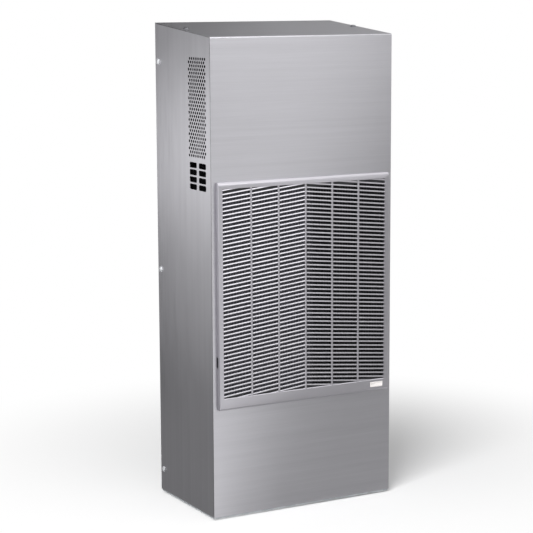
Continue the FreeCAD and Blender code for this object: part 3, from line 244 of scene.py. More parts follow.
grey_card("card_front_floor", [(-0.6, -1.2, mm), (2.6, -1.2, mm), (2.6, -0.112, mm), (-0.6, -0.112, mm)],
          (1, 0.66, 0), [(-0.40, 1.12), (-0.30, 1.0), (-0.21, 0.59), (-0.12, 0.42), (0.5, 0.48),
                         (0.9, 0.3)])
grey_card("card_left", [(-0.55, -0.6, 0), (-0.55, 6, 0), (-0.55, 6, 1.15), (-0.55, -0.6, 1.15)],
          (0, 0, 1), [(0.0, 0.09), (0.11, 0.13), (0.18, 0.20), (0.25, 0.26), (0.32, 0.30), (0.39, 0.34),
                      (0.46, 0.45), (0.54, 0.59), (0.61, 0.68), (0.73, 0.60), (0.87, 0.34)],
          (0, 1, 0), (0.45, 0.88, 2.3, 0.05))
grey_card("card_left_floor", [(-0.55, -0.6, mm), (-0.195, -0.6, mm), (-0.195, 6, mm), (-0.55, 6, mm)],
          (0, 1, 0), [(0.0, 0.25), (1.0, 0.25)])
grey_card("card_back", [(-0.8, 1.0, 0.92), (3.2, 1.0, 0.92), (3.2, -0.05, 2.6), (-0.8, -0.05, 2.6)],
          (1, 0, 0), [(0.2, 0.06), (0.52, 0.30), (0.85, 0.36)])

# %% [markdown]
# ## Starting a material
# Every finish starts the same way: a fresh material, one Principled shader with the numbers that hold all
# over the surface on its own sockets, and the Object coordinates, which here are metres in the frame of
# the whole unit. Real sizes in millimetres can then be turned straight into pattern scales.

# %% The start of every finish
finishes = {}


def start_finish(name, sockets):
    """A new material with one shader; gives its tree, shader and Object coordinates."""
    finish = bpy.data.materials.new(name)
    finish.use_nodes = True
    tree = finish.node_tree
    tree.nodes.clear()
    shader = node(tree, "ShaderNodeBsdfPrincipled", sockets)
    node(tree, "ShaderNodeOutputMaterial", {"Surface": shader.outputs[0]})
    spot = node(tree, "ShaderNodeTexCoord").outputs["Object"]
    return finish, tree, shader, spot


def feed(tree, shader, **links):
    """Link patterns to the shader's sockets; an underscore stands for a space."""
    for name, output in links.items():
        tree.links.new(output, shader.inputs[name.replace("_", " ")])


print("a finish starts with one shader")

# %% [markdown]
# ## Clouded finishes
# Plating, copper, enamel, plastic and rubber are alike in one way: their tone drifts a little from place to
# place, and the gloss drifts with it. One function makes such a finish from the size of the drift, its two
# tones and its two levels of roughness. Where the surface is not quite flat, as orange peel and moulding
# grit are not, a finer noise raises it.

# %% A finish whose tone drifts
def clouded(slot, name, sockets, cloud, tones, rough=None, grit=None):
    """Make a slot's finish; cloud is (mm, detail) and grit is (mm, detail, strength, height in mm)."""
    finish, tree, shader, spot = start_finish(name, sockets)
    size, detail = cloud
    drift = node(tree, "ShaderNodeTexNoise", {"Vector": spot, "Scale": 1 / (size * mm), "Detail": detail})
    colour = node(tree, "ShaderNodeMix", {0: drift.outputs[0], 6: linear(tones[0]), 7: linear(tones[1])},
                  data_type="RGBA")
    feed(tree, shader, Base_Color=colour.outputs[2])
    if rough:
        dull = node(tree, "ShaderNodeMapRange", {"Value": drift.outputs[0], "To Min": rough[0],
                                                 "To Max": rough[1]})
        feed(tree, shader, Roughness=dull.outputs[0])
    if grit:
        size, detail, strength, height = grit
        fine = node(tree, "ShaderNodeTexNoise", {"Vector": spot, "Scale": 1 / (size * mm),
                                                 "Detail": detail})
        bump = node(tree, "ShaderNodeBump", {"Strength": strength, "Distance": height * mm,
                                             "Height": fine.outputs[0]})
        feed(tree, shader, Normal=bump.outputs[0])
    finishes[slot] = finish
    print("made", name)


print("a clouded finish has one or two noises")

# %% [markdown]
# ## Brushed stainless sheet
# The case is 304 stainless, belt-brushed on one side before it is cut and bent. The belt leaves fine
# parallel scratches, which blur reflections across the grain and leave them sharper along it. A flat grey
# or a plain rough metal would lose that, so the shader is anisotropic, and two stretched noises draw
# the scratches and the broad streaks. The grain runs across the front and roof, and upright on the sides.
# The vents are punched through the sides, which leaves their edges torn and dull. Faces that look along
# the sheet instead of out of it get a darker tone, partly for that dullness and partly as painted shade
# in the vent holes and along the sheet's edges.

# %% Brushed stainless
def brushed_stainless(name, upright):
    """304 sheet: an upright grain for the sides, or one across for the front and roof."""
    grain_axis, blur_axis = (2, "Z") if upright else (0, "X")
    finish, tree, shader, spot = start_finish(name, {
        "Metallic": 1.0, "Anisotropic": 0.6 if upright else 0.75})
    # A real scratch is about 0.1 mm wide; it is drawn 1.6 mm wide so that it still shows.
    scratch_width, scratch_length, streak_width, streak_length = 1.6 * mm, 90 * mm, 9 * mm, 700 * mm
    scratch = [1 / scratch_width] * 3
    scratch[grain_axis] = 1 / scratch_length
    streak = [1 / streak_width] * 3
    streak[grain_axis] = 1 / streak_length
    fine_place = node(tree, "ShaderNodeMapping", {"Vector": spot, "Scale": scratch})
    fine = node(tree, "ShaderNodeTexNoise", {"Vector": fine_place.outputs[0], "Scale": 1.0, "Detail": 3.0})
    broad_place = node(tree, "ShaderNodeMapping", {"Vector": spot, "Scale": streak})
    broad = node(tree, "ShaderNodeTexNoise", {"Vector": broad_place.outputs[0], "Scale": 1.0,
                                              "Detail": 2.0})
    tone = node(tree, "ShaderNodeMath", {0: fine.outputs[0], 1: broad.outputs[0]}, operation="ADD")
    half_tone = node(tree, "ShaderNodeMapRange", {"Value": tone.outputs[0], "From Min": 0.6,
                                                  "From Max": 1.4})
    colour = node(tree, "ShaderNodeMix", {0: half_tone.outputs[0], 6: linear("#C3C2C7"),
                                          7: linear("#CCCBD0")}, data_type="RGBA")
    rough = node(tree, "ShaderNodeMapRange", {"Value": fine.outputs[0], "From Min": 0.3, "From Max": 0.7,
                                              "To Min": 0.30, "To Max": 0.40})
    bump = node(tree, "ShaderNodeBump", {"Strength": 0.12, "Distance": 0.05 * mm,
                                         "Height": fine.outputs[0]})
    blur = node(tree, "ShaderNodeTangent", direction_type="RADIAL", axis=blur_axis)
    normal = node(tree, "ShaderNodeNewGeometry").outputs["True Normal"]
    sideways = node(tree, "ShaderNodeMath", {
        0: node(tree, "ShaderNodeSeparateXYZ", {0: normal}).outputs["X"]}, operation="ABSOLUTE")
    edge = node(tree, "ShaderNodeMapRange", {
        "Value": sideways.outputs[0], "From Min": 0.3, "From Max": 0.7,
        "To Min": 1.0 if upright else 0.0, "To Max": 0.0 if upright else 1.0})
    # Faces along the sheet are darker: partly dull cut edges, partly painted shade in the holes and at
    # edges.
    painted_edge_shade = linear("#4C4C50" if upright else "#9A9A9E")
    toned = node(tree, "ShaderNodeMix", {0: edge.outputs[0], 6: colour.outputs[2], 7: painted_edge_shade},
                 data_type="RGBA")
    feed(tree, shader, Base_Color=toned.outputs[2], Roughness=rough.outputs[0], Normal=bump.outputs[0],
         Tangent=blur.outputs[0])
    return finish


finishes["front_cover"] = brushed_stainless("brushed_stainless_across", False)
finishes["stainless_sheet"] = brushed_stainless("brushed_stainless_upright", True)
print("stainless", [finish.name for finish in finishes.values()])

# %% [markdown]
# ## Galvanised sheet
# The back plate, base pan and inner sheets are hot-dip galvanised steel. The zinc freezes in crystals
# about a centimetre across, the spangle, each with its own grey. A Voronoi pattern has such cells, so its
# cell colour drives the tone and the roughness.

# %% Galvanised steel
finish, tree, shader, spot = start_finish("galvanised_steel", {"Metallic": 0.9})
crystals = node(tree, "ShaderNodeTexVoronoi", {"Vector": spot, "Scale": 1 / (11 * mm)})
cell = node(tree, "ShaderNodeSeparateColor", {0: crystals.outputs["Color"]})
colour = node(tree, "ShaderNodeMix", {0: cell.outputs[0], 6: linear("#A9ADB1"), 7: linear("#C3C7CA")},
              data_type="RGBA")
rough = node(tree, "ShaderNodeMapRange", {"Value": cell.outputs[1], "To Min": 0.38, "To Max": 0.55})
cloud = node(tree, "ShaderNodeTexNoise", {"Vector": spot, "Scale": 1 / (2.5 * mm), "Detail": 3.0})
bump = node(tree, "ShaderNodeBump", {"Strength": 0.15, "Distance": 0.1 * mm, "Height": cloud.outputs[0]})
feed(tree, shader, Base_Color=colour.outputs[2], Roughness=rough.outputs[0], Normal=bump.outputs[0])
finishes["zinc_sheet"] = finish
print("made", finish.name)

# %% [markdown]
# ## Bright zinc, spun steel and bare aluminium
# Screws and inserts are plated with bright zinc, smooth with a faint cloud. A clear passivated film lies
# over the zinc and scatters some light, so this finish is only part metal. The two screws in the roof are
# drawn in a darker grey and duller zinc. The fan inlet rings are spun on a lathe, so
# their marks run round the fan axis. The fins are mill-finish foil, and the capacitor can is deep drawn,
# which leaves upright draw lines. Apart from that film each is a metal shader, and the tone and the pattern
# that its making left tell them apart.

# %% Plated, spun and drawn metals
# Bright zinc is a pale near-mirror with a faint cloud, softened by the film over it.
clouded("zinc_fastener", "bright_zinc_plate", {"Metallic": 0.6}, cloud=(3, 3.0),
        tones=("#CFD1D5", "#E6E7EA"), rough=(0.16, 0.30))
# The roof screws' zinc is drawn a darker mid grey, and mirrors only softly.
clouded("darker_roof_zinc", "weathered_zinc_plate", {"Metallic": 1.0}, cloud=(3, 3.0),
        tones=("#86878B", "#9E9FA3"), rough=(0.26, 0.40))

fan_height = 763 * mm
finish, tree, shader, spot = start_finish("spun_steel", {"Metallic": 1.0})
centred = node(tree, "ShaderNodeVectorMath", {0: spot, 1: (0, 0, fan_height)}, operation="SUBTRACT")
flat = node(tree, "ShaderNodeVectorMath", {0: centred.outputs[0], 1: (1, 0, 1)}, operation="MULTIPLY")
radius = node(tree, "ShaderNodeVectorMath", {0: flat.outputs[0]}, operation="LENGTH")
# Lathe marks are a few tenths of a millimetre apart; they are drawn 1.5 mm apart so that they show.
rings = node(tree, "ShaderNodeTexNoise", {"W": radius.outputs["Value"], "Scale": 1 / (1.5 * mm)},
             noise_dimensions="1D")
colour = node(tree, "ShaderNodeMix", {0: rings.outputs[0], 6: linear("#A6A8AB"), 7: linear("#C9CBCD")},
              data_type="RGBA")
rough = node(tree, "ShaderNodeMapRange", {"Value": rings.outputs[0], "To Min": 0.25, "To Max": 0.45})
bump = node(tree, "ShaderNodeBump", {"Strength": 0.2, "Distance": 0.05 * mm, "Height": rings.outputs[0]})
feed(tree, shader, Base_Color=colour.outputs[2], Roughness=rough.outputs[0], Normal=bump.outputs[0])
finishes["spun_steel"] = finish

# Roll and draw lines are about 0.1 mm wide; they are drawn 1 to 4 mm wide so that they show.
for name, slot, dark, pale, stretch in (
        ("mill_aluminium_foil", "fin_aluminium", "#B9BDC2", "#D6D9DD", (4, 4, 60)),
        ("drawn_aluminium_can", "can_aluminium", "#BABDC0", "#D2D4D7", (1.2, 1.2, 60))):
    finish, tree, shader, spot = start_finish(name, {"Metallic": 1.0})
    stretched = [1 / (size * mm) for size in stretch]
    lines_place = node(tree, "ShaderNodeMapping", {"Vector": spot, "Scale": stretched})
    lines = node(tree, "ShaderNodeTexNoise", {"Vector": lines_place.outputs[0], "Scale": 1.0,
                                              "Detail": 2.0})
    colour = node(tree, "ShaderNodeMix", {0: lines.outputs[0], 6: linear(dark), 7: linear(pale)},
                  data_type="RGBA")
    rough = node(tree, "ShaderNodeMapRange", {"Value": lines.outputs[0], "To Min": 0.25, "To Max": 0.45})
    feed(tree, shader, Base_Color=colour.outputs[2], Roughness=rough.outputs[0])
    finishes[slot] = finish
print("metals", sorted(finishes))

# %% [markdown]
# ## Copper tube and black enamel
# The coils and lines are drawn copper, bright when new and browner in patches where it was handled or
# brazed. The compressor and the motors are sprayed with black enamel, glossy with a slight orange peel.
# The condenser's fan deck is galvanised, but it is drawn in the same enamel as painted shade, so the inside
# seen through the vents stays dark. Both are clouded finishes, because nothing in them has a direction.

# %% Copper and enamel
# Copper is warm and bright, and both browner and duller where it was handled.
clouded("copper", "drawn_copper", {"Metallic": 1.0}, cloud=(25, 4.0),
        tones=("#A9654A", "#D9936E"), rough=(0.42, 0.22))
# Enamel is a deep black whose highlights ripple softly.
clouded("black_enamel", "black_enamel", {"IOR": 1.5}, cloud=(30, 4.0),
        tones=("#121214", "#1E1E21"), rough=(0.18, 0.34), grit=(2.5, 1.0, 0.12, 0.1))

# %% [markdown]
# ## Moulded plastics
# The grille is ABS, sprayed with a silver lacquer whose metal flakes pick up the room as the steel does.
# Its mould was spark-eroded, which leaves a fine stipple that takes the gloss off. The fans, filter rim,
# gland and knob are black glass-filled nylon, duller and a little uneven. The badge place is a small blank
# plate of white styrene, smooth from a polished mould.

# %% ABS, nylon and styrene
# Lacquered ABS is silver grey, and the stipple breaks up its highlights. The real stipple is about 0.2 mm;
# it is drawn at 1 mm so that it shows.
clouded("grille_plastic", "silver_lacquered_abs", {"Metallic": 0.9, "Roughness": 0.3}, cloud=(60, 2.0),
        tones=("#BCBAC0", "#C4C2C8"), grit=(1.0, 2.0, 0.35, 0.12))
# Nylon is off-black and matt. Its real grit is about 0.1 mm; it is drawn at 0.8 mm so that it shows.
clouded("black_plastic", "black_nylon", {"IOR": 1.53}, cloud=(20, 3.0),
        tones=("#17171A", "#222226"), rough=(0.42, 0.58), grit=(0.8, 2.0, 0.25, 0.1))
# Styrene is a warm white with a clear shine.
clouded("badge_plate", "white_styrene", {"IOR": 1.59}, cloud=(9, 2.0),
        tones=("#EFEAE8", "#F5F1EF"), rough=(0.12, 0.24))

# %% [markdown]
# ## Foam, rubber and filter fleece
# The gasket on the back and the insulation inside are closed-cell foam: black, dull and full of small
# cells. Grommets are moulded rubber. The filter is a dark polyester fleece whose fibres lie every way,
# drawn here as two stretched noises that cross.

# %% Foam, rubber and fleece
# The real cells are about 0.4 mm; they are drawn at 1.4 mm so that they show.
finish, tree, shader, spot = start_finish("closed_cell_foam", {"Roughness": 0.9, "IOR": 1.45})
cells = node(tree, "ShaderNodeTexVoronoi", {"Vector": spot, "Scale": 1 / (1.4 * mm)})
colour = node(tree, "ShaderNodeMix", {0: cells.outputs["Distance"], 6: linear("#161617"),
                                      7: linear("#2B2B2D")}, data_type="RGBA")
bump = node(tree, "ShaderNodeBump", {"Strength": 0.6, "Distance": 0.4 * mm,
                                     "Height": cells.outputs["Distance"]})
feed(tree, shader, Base_Color=colour.outputs[2], Normal=bump.outputs[0])
finishes["foam"] = finish

# Rubber is grey-black with a dusty bloom and hardly a shine.
clouded("rubber", "moulded_rubber", {"IOR": 1.52}, cloud=(8, 4.0),
        tones=("#121213", "#232325"), rough=(0.55, 0.8))

finish, tree, shader, spot = start_finish("polyester_fleece", {"Roughness": 0.95, "IOR": 1.5})
# A real fibre is a few hundredths of a millimetre thick; it is drawn about 1 mm thick so that it shows.
fibre_scale = (1 / (9 * mm), 1 / mm, 1 / (0.9 * mm))
fibres = []
for turn in (0, 55):
    way = node(tree, "ShaderNodeMapping", {"Vector": spot, "Rotation": (0, math.radians(turn), 0),
                                           "Scale": fibre_scale})
    lines = node(tree, "ShaderNodeTexNoise", {"Vector": way.outputs[0], "Scale": 1.0, "Detail": 2.0})
    fibres.append(lines.outputs[0])
felt = node(tree, "ShaderNodeMath", {0: fibres[0], 1: fibres[1]}, operation="MULTIPLY")
plain_fleece = node(tree, "ShaderNodeMix", {0: felt.outputs[0], 6: linear("#060608"), 7: linear("#1A1A1E")},
             data_type="RGBA")
# A lighter grey for the left half of the fleece: painted light.
painted_light_grey = node(tree, "ShaderNodeMix", {0: felt.outputs[0], 6: linear("#3E3E44"), 7: linear("#626268")},
             data_type="RGBA")
# Painted light: the fleece left of the middle is a lighter grey, fading out across the middle.
across = node(tree, "ShaderNodeSeparateXYZ", {0: spot})
painted_light_share = node(tree, "ShaderNodeMapRange", {
    "Value": across.outputs["X"], "From Min": -5 * mm, "From Max": 25 * mm, "To Min": 1.0, "To Max": 0.0},
    interpolation_type="SMOOTHSTEP")
colour = node(tree, "ShaderNodeMix", {0: painted_light_share.outputs[0], 6: plain_fleece.outputs[2], 7: painted_light_grey.outputs[2]},
              data_type="RGBA")
bump = node(tree, "ShaderNodeBump", {"Strength": 0.6, "Distance": 0.3 * mm, "Height": felt.outputs[0]})
feed(tree, shader, Base_Color=colour.outputs[2], Normal=bump.outputs[0])
finishes["filter_media"] = finish
print("soft finishes made,", len(finishes), "in all")

# %% [markdown]
# ## Finishes on the construction nodes
# Each node of the frame says in the record which material slot it belongs to. The finishes above are named
# by those slots, so one loop dresses every node. Two nodes have their own: the front cover, because its
# grain runs across while the side panels have theirs upright, and the condenser's fan deck, which is
# galvanised but drawn in black enamel as painted shade, so that nothing bright shows through the vents.

# %% Dress the frame
# The fan deck's black is painted shade for the dark space behind the vents.
finishes["condenser_fan_deck"] = finishes["black_enamel"]
slot_of = {part["node"]: part["material_slot"] for part in frame["record"]["subparts"]}
for name, part in frame["nodes"].items():
    finish = finishes.get(name) or finishes[slot_of[name]]
    for held in part.material_slots:
        held.material = finish
print("dressed", len(slot_of), "nodes")

# %% [markdown]
# ## Helpers for shapes
# Things that repeat are made by Geometry Nodes: a tree with named inputs places copies, makes them real and
# gives them their material. The result is then turned into a plain mesh, because the frame wants finished
# meshes. Round parts come from a lathe function that turns a profile round an axis.

# %% Trees, plain meshes and the lathe
sharp_angle = math.radians(32)


def new_tree(name, inputs):
    """A Geometry Nodes tree with named inputs; gives the tree and the outputs of its Group Input."""
    tree = bpy.data.node_groups.new(name, "GeometryNodeTree")
    tree.interface.new_socket("Geometry", in_out="INPUT", socket_type="NodeSocketGeometry")
    tree.interface.new_socket("Geometry", in_out="OUTPUT", socket_type="NodeSocketGeometry")
    for label, kind in inputs.items():
        tree.interface.new_socket(label, in_out="INPUT", socket_type="NodeSocket" + kind)
    return tree, node(tree, "NodeGroupInput").outputs


def close_tree(tree, geometry, material):
    """End a tree: make the copies real, set their material and hand the result out."""
    real = node(tree, "GeometryNodeRealizeInstances", {"Geometry": geometry})
    dressed = node(tree, "GeometryNodeSetMaterial", {"Geometry": real.outputs[0], "Material": material})
    node(tree, "NodeGroupOutput", {"Geometry": dressed.outputs[0]})


def new_object(name, mesh):
    """An object at the origin that shows one mesh."""
    made = bpy.data.objects.new(name, mesh)
    scene.collection.objects.link(made)
    return made


def plain_mesh(made):
    """Turn what an object's modifiers give into its own plain mesh."""
    graph = bpy.context.evaluated_depsgraph_get()
    mesh = bpy.data.meshes.new_from_object(made.evaluated_get(graph))
    made.modifiers.clear()
    made.data = mesh
    mesh.name = made.name
    return made


def grow(made, tree, sizes):
    """Run a tree on an object with the given sizes and keep the result as a plain mesh."""
    step = made.modifiers.new(tree.name, "NODES")
    step.node_group = tree
    for item in tree.interface.items_tree:
        if item.in_out == "INPUT" and item.name in sizes:
            step[item.identifier] = sizes[item.name]
    return plain_mesh(made)


def settle(made, body, slot, *nodes):
    """Smooth and dress a finished piece, hand it to its body and hide the frame nodes it stands for."""
    if not made.data.materials:
        made.data.materials.append(finishes[slot])
    made.data.shade_smooth()
    made.data.set_sharp_from_angle(angle=sharp_angle)
    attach(made, body)
    if nodes:
        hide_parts(*nodes)
    made.data.calc_loop_triangles()
    print(made.name, "on", body, "with", len(made.data.loop_triangles), "triangles")


def turned(name, profile, steps, closed=False):
    """Turn (radius, height) pairs in mm round Z; a radius of 0 makes a pole."""
    shape = bmesh.new()
    rings = []
    for radius, height in profile:
        turns = [2 * math.pi * step / steps for step in range(steps if radius else 1)]
        rings.append([shape.verts.new((radius * math.cos(turn) * mm, radius * math.sin(turn) * mm,
                                       height * mm)) for turn in turns])
    for near, far in zip(rings, rings[1:] + rings[:1] if closed else rings[1:]):
        for step in range(steps):
            loop = [ring[place % len(ring)] for ring, place in (
                (near, step), (near, step + 1), (far, step + 1), (far, step))]
            shape.faces.new(list(dict.fromkeys(loop)))
    bmesh.ops.recalc_face_normals(shape, faces=shape.faces)
    mesh = bpy.data.meshes.new(name)
    shape.to_mesh(mesh)
    shape.free()
    return mesh


def cut_away(made, cutter):
    """Cut one closed shape out of another, then drop the cutter."""
    step = made.modifiers.new("cut", "BOOLEAN")
    step.object = cutter
    step.solver = "EXACT"
    plain_mesh(made)
    bpy.data.objects.remove(cutter)
    return made


print("shape helpers ready")

# %% [markdown]
# ## Screws and threaded inserts
# Eight flanged pan-head screws hold the case: three in each side and two in the roof. Six threaded inserts
# in the back take the bolts that hold the unit to its cabinet. Each kind is one turned shape, and one tree
# copies it to a set of points that know which way they face, so the same tree serves both.

# %% A tree that sets hardware on points
hardware, given = new_tree("hardware_on_points", {"Hardware": "Object", "Finish": "Material"})
facing = node(hardware, "GeometryNodeInputNamedAttribute", {"Name": "facing"}, data_type="FLOAT_VECTOR")
turn = node(hardware, "FunctionNodeAlignRotationToVector", {"Vector": facing.outputs[0]}, axis="Z")
shape = node(hardware, "GeometryNodeObjectInfo", {"Object": given["Hardware"]})
copies = node(hardware, "GeometryNodeInstanceOnPoints", {
    "Points": given["Geometry"], "Instance": shape.outputs["Geometry"], "Rotation": turn.outputs[0]})
close_tree(hardware, copies.outputs[0], given["Finish"])


def set_hardware(name, shape, seats, slot):
    """Copy one shape to seats given in mm, each with the direction that it faces."""
    mesh = bpy.data.meshes.new(name)
    mesh.from_pydata([[v * mm for v in seat] for seat, _ in seats], [], [])
    facing = mesh.attributes.new("facing", "FLOAT_VECTOR", "POINT")
    for held, (_, way) in zip(facing.data, seats):
        held.vector = way
    made = grow(new_object(name, mesh), hardware, {"Hardware": shape, "Finish": finishes[slot]})
    bpy.data.objects.remove(shape)
    return made


print("hardware tree has", len(hardware.nodes), "nodes")

# %% Screws
# Radius and height in mm, from the tip of the shank up to the middle of the head.
head = [(0, -6), (2.4, -6), (2.4, -0.1), (5.3, -0.1), (5.8, 0.25), (5.8, 0.75), (5.55, 1.05), (4.9, 1.25),
        (4.55, 1.5), (4.4, 2.1), (4.05, 2.65), (3.3, 3.0), (2.0, 3.17), (0, 3.2)]
screw = new_object("screw_shape", turned("screw_shape", head, 32))
# The recess is two crossed bars that narrow towards its floor.
arm_half, arm_reach, arm_taper, recess_middle, recess_half = 0.55, 2.3, 0.55, 2.7, 1.1
recess = bmesh.new()
for across, along in ((arm_half, arm_reach), (arm_reach, arm_half)):
    bar = bmesh.ops.create_cube(recess, size=2)["verts"]
    for corner in bar:
        taper = 1 if corner.co.z > 0 else arm_taper
        corner.co = (corner.co.x * across * taper * mm, corner.co.y * along * taper * mm,
                     (recess_middle + corner.co.z * recess_half) * mm)
cross = bpy.data.meshes.new("recess_shape")
recess.to_mesh(cross)
recess.free()
cut_away(screw, new_object("recess_shape", cross))

case_half, case_depth, roof_fall = 194, 226, 22.5
screw_line, screw_heights = 103.6, (45.8, 445, 844)
roof_screw_half, roof_screw_line, roof_screw_height = 182, 8, 906.25
roof_up = (0, -roof_fall / case_depth, 1)
seats = [((side * case_half, screw_line, height), (side, 0, 0)) for side in (-1, 1)
         for height in screw_heights]
roof_seats = [((side * roof_screw_half, roof_screw_line, roof_screw_height), roof_up) for side in (-1, 1)]
roof_screw = new_object("roof_screw_shape", screw.data)
screw_set = set_hardware("case_screw_set", screw, seats, "zinc_fastener")
settle(screw_set, "chassis", "zinc_fastener", "case_screws")
roof_set = set_hardware("roof_screw_set", roof_screw, roof_seats, "darker_roof_zinc")
settle(roof_set, "chassis", "zinc_fastener")

# %% Threaded inserts
# The thread is drawn as rings at the 1.25 mm pitch of an M8 bolt.
bore, thread_depth, thread_pitch, thread_top, thread_rows = 4.0, 0.4, 1.25, 0.6, 24
thread = [(bore + thread_depth * (step % 2), thread_top - thread_pitch / 2 * step)
          for step in range(thread_rows)]
outside = [(5.5, -14), (5.5, 0), (7.9, 0), (8.0, 0.2), (8.0, 0.8), (7.7, 1.0), (4.4, 1.0)]
insert = new_object("insert_shape", turned("insert_shape", outside + thread, 28, closed=True))
back_face, bolt_half, bolt_heights = 116, 160, (40, 460, 880)
seats = [((side * bolt_half, back_face, height), (0, 1, 0)) for side in (-1, 1) for height in bolt_heights]
insert_set = set_hardware("threaded_insert_set", insert, seats, "zinc_fastener")
settle(insert_set, "chassis", "zinc_fastener", "mounting_inserts")

# %% [markdown]
# ## The intake grille
# The grille is one moulding that clips over the intake: a bevelled rim, five upright bars, and slats that
# fall away from the middle like a shallow roof. The rim is lofted through rounded rectangles, which gives
# its bevels and its hollow back. A tree then adds the slats and bars. Each slat is as long as the slot
# field leaves room for, so the tree works out where its middle line enters and leaves the field.

# %% Rim of the grille
def rounded_rectangle(half, low, high, depth, radius, steps=5, shift=0):
    """Points round an upright rectangle with round corners, in mm, its middle line at x = shift."""
    points = []
    for x, z, quarter in ((half, high, 0), (-half, high, 1), (-half, low, 2), (half, low, 3)):
        middle_x = x - math.copysign(radius, x)
        middle_z = z - radius if z == high else z + radius
        for step in range(steps + 1):
            turn = math.pi / 2 * (quarter + step / steps)
            points.append((shift + middle_x + radius * math.cos(turn), depth,
                           middle_z + radius * math.sin(turn)))
    return points


def lofted(name, rings, capped=False):
    """Join rings of points in mm; the two ends are capped, or else the last ring joins the first."""
    count = len(rings[0])
    points = [[v * mm for v in point] for ring in rings for point in ring]
    faces = [range(count), range(len(points) - count, len(points))] if capped else []
    for row in range(len(rings) - capped):
        other = (row + 1) % len(rings)
        for step in range(count):
            after = (step + 1) % count
            faces.append((row * count + step, row * count + after,
                          other * count + after, other * count + step))
    mesh = bpy.data.meshes.new(name)
    mesh.from_pydata(points, [], faces)
    shape = bmesh.new()
    shape.from_mesh(mesh)
    bmesh.ops.recalc_face_normals(shape, faces=shape.faces)
    shape.to_mesh(mesh)
    shape.free()
    return mesh


field_half, field_low, field_high = 175.2, 230.5, 620.1
# Half width, foot, top, depth and corner radius of each ring, from the rear edge round to the inside.
rim_rings = [
    (184.5, 208.0, 632.0, -110.25, 1.0), (184.5, 208.0, 632.0, -115.3, 1.0),
    (184.5, 211.2, 628.7, -118.2, 1.0), (184.1, 212.0, 627.9, -118.6, 0.8),
    (175.7, 229.3, 620.5, -118.6, 0.4), (field_half, field_low, field_high, -117.4, 0.3),
    (field_half, field_low, field_high, -116.0, 0.3), (182.0, 210.5, 629.5, -116.0, 0.8),
    (182.0, 210.5, 629.5, -110.25, 0.8)]
rim_mesh = lofted("intake_grille", [rounded_rectangle(*ring) for ring in rim_rings])
grille = new_object("intake_grille", rim_mesh)
# A notch in the left edge lets a screwdriver pry the grille off its clips.
notch_half, notch_low, notch_high, notch_round, notch_x = 3, 288, 308, 1, -183.5
notch_rings = [rounded_rectangle(notch_half, notch_low, notch_high, depth, notch_round, shift=notch_x)
               for depth in (-113.25, -109.0)]
cut_away(grille, new_object("pry_notch", lofted("pry_notch", notch_rings, capped=True)))
print("rim has", len(grille.data.polygons), "faces")

# %% Slats and bars
chevron, given = new_tree("chevron_slats", {
    "Count": "Int", "First": "Vector", "Pitch": "Vector", "Fall": "Float", "Field low": "Float",
    "Field high": "Float", "Field half": "Float", "Slat height": "Float", "Slat thickness": "Float",
    "Slat tilt": "Float",
    "Bar count": "Int", "Bar first": "Vector", "Bar pitch": "Vector", "Bar width": "Float",
    "Bar depth": "Float", "Finish": "Material"})


rod_round = 0.6 * mm


def rod(width, depth, lean, start, end):
    """A bar with a rounded section that leans, swept from one point to the other."""
    outline = node(chevron, "GeometryNodeCurvePrimitiveQuadrilateral", {"Width": width, "Height": depth})
    round_off = node(chevron, "GeometryNodeFilletCurve", {
        "Curve": outline.outputs[0], "Radius": rod_round, "Count": 3}, mode="POLY")
    tilted = node(chevron, "GeometryNodeTransform", {
        "Geometry": round_off.outputs[0],
        "Rotation": node(chevron, "ShaderNodeCombineXYZ", {"Z": lean}).outputs[0]})
    line = node(chevron, "GeometryNodeCurvePrimitiveLine", {"Start": start, "End": end})
    return node(chevron, "GeometryNodeCurveToMesh", {
        "Curve": line.outputs[0], "Profile Curve": tilted.outputs[0], "Fill Caps": True}).outputs[0]


row = node(chevron, "GeometryNodeMeshLine", {
    "Count": given["Count"], "Start Location": given["First"], "Offset": given["Pitch"]}, mode="OFFSET")
height = node(chevron, "ShaderNodeSeparateXYZ", {
    0: node(chevron, "GeometryNodeInputPosition").outputs[0]}).outputs["Z"]
# A slat falls by Fall for each metre out, so height over fall tells where it crosses a level.
over = node(chevron, "ShaderNodeMath", {0: height, 1: given["Field high"]}, operation="SUBTRACT")
entry = node(chevron, "ShaderNodeMath", {0: over.outputs[0], 1: given["Fall"]}, operation="DIVIDE")
inner_end = node(chevron, "ShaderNodeMath", {0: entry.outputs[0], 1: 0.0}, operation="MAXIMUM")
above = node(chevron, "ShaderNodeMath", {0: height, 1: given["Field low"]}, operation="SUBTRACT")
leaving = node(chevron, "ShaderNodeMath", {0: above.outputs[0], 1: given["Fall"]}, operation="DIVIDE")
outer_end = node(chevron, "ShaderNodeMath", {0: leaving.outputs[0], 1: given["Field half"]},
                 operation="MINIMUM")
span = node(chevron, "ShaderNodeMath", {0: outer_end.outputs[0], 1: inner_end.outputs[0]},
            operation="SUBTRACT")
kept = node(chevron, "ShaderNodeMath", {0: span.outputs[0], 1: 0.0}, operation="GREATER_THAN")
lean = node(chevron, "ShaderNodeMath", {0: given["Fall"]}, operation="ARCTANGENT")
flatness = node(chevron, "ShaderNodeMath", {0: lean.outputs[0]}, operation="COSINE")
length = node(chevron, "ShaderNodeMath", {0: span.outputs[0], 1: flatness.outputs[0]}, operation="DIVIDE")
size = node(chevron, "ShaderNodeCombineXYZ", {"X": length.outputs[0], "Y": 1.0, "Z": 1.0})
fallen = node(chevron, "ShaderNodeMath", {0: inner_end.outputs[0], 1: given["Fall"]}, operation="MULTIPLY")
drop = node(chevron, "ShaderNodeMath", {0: 0.0, 1: fallen.outputs[0]}, operation="SUBTRACT")
halves = []
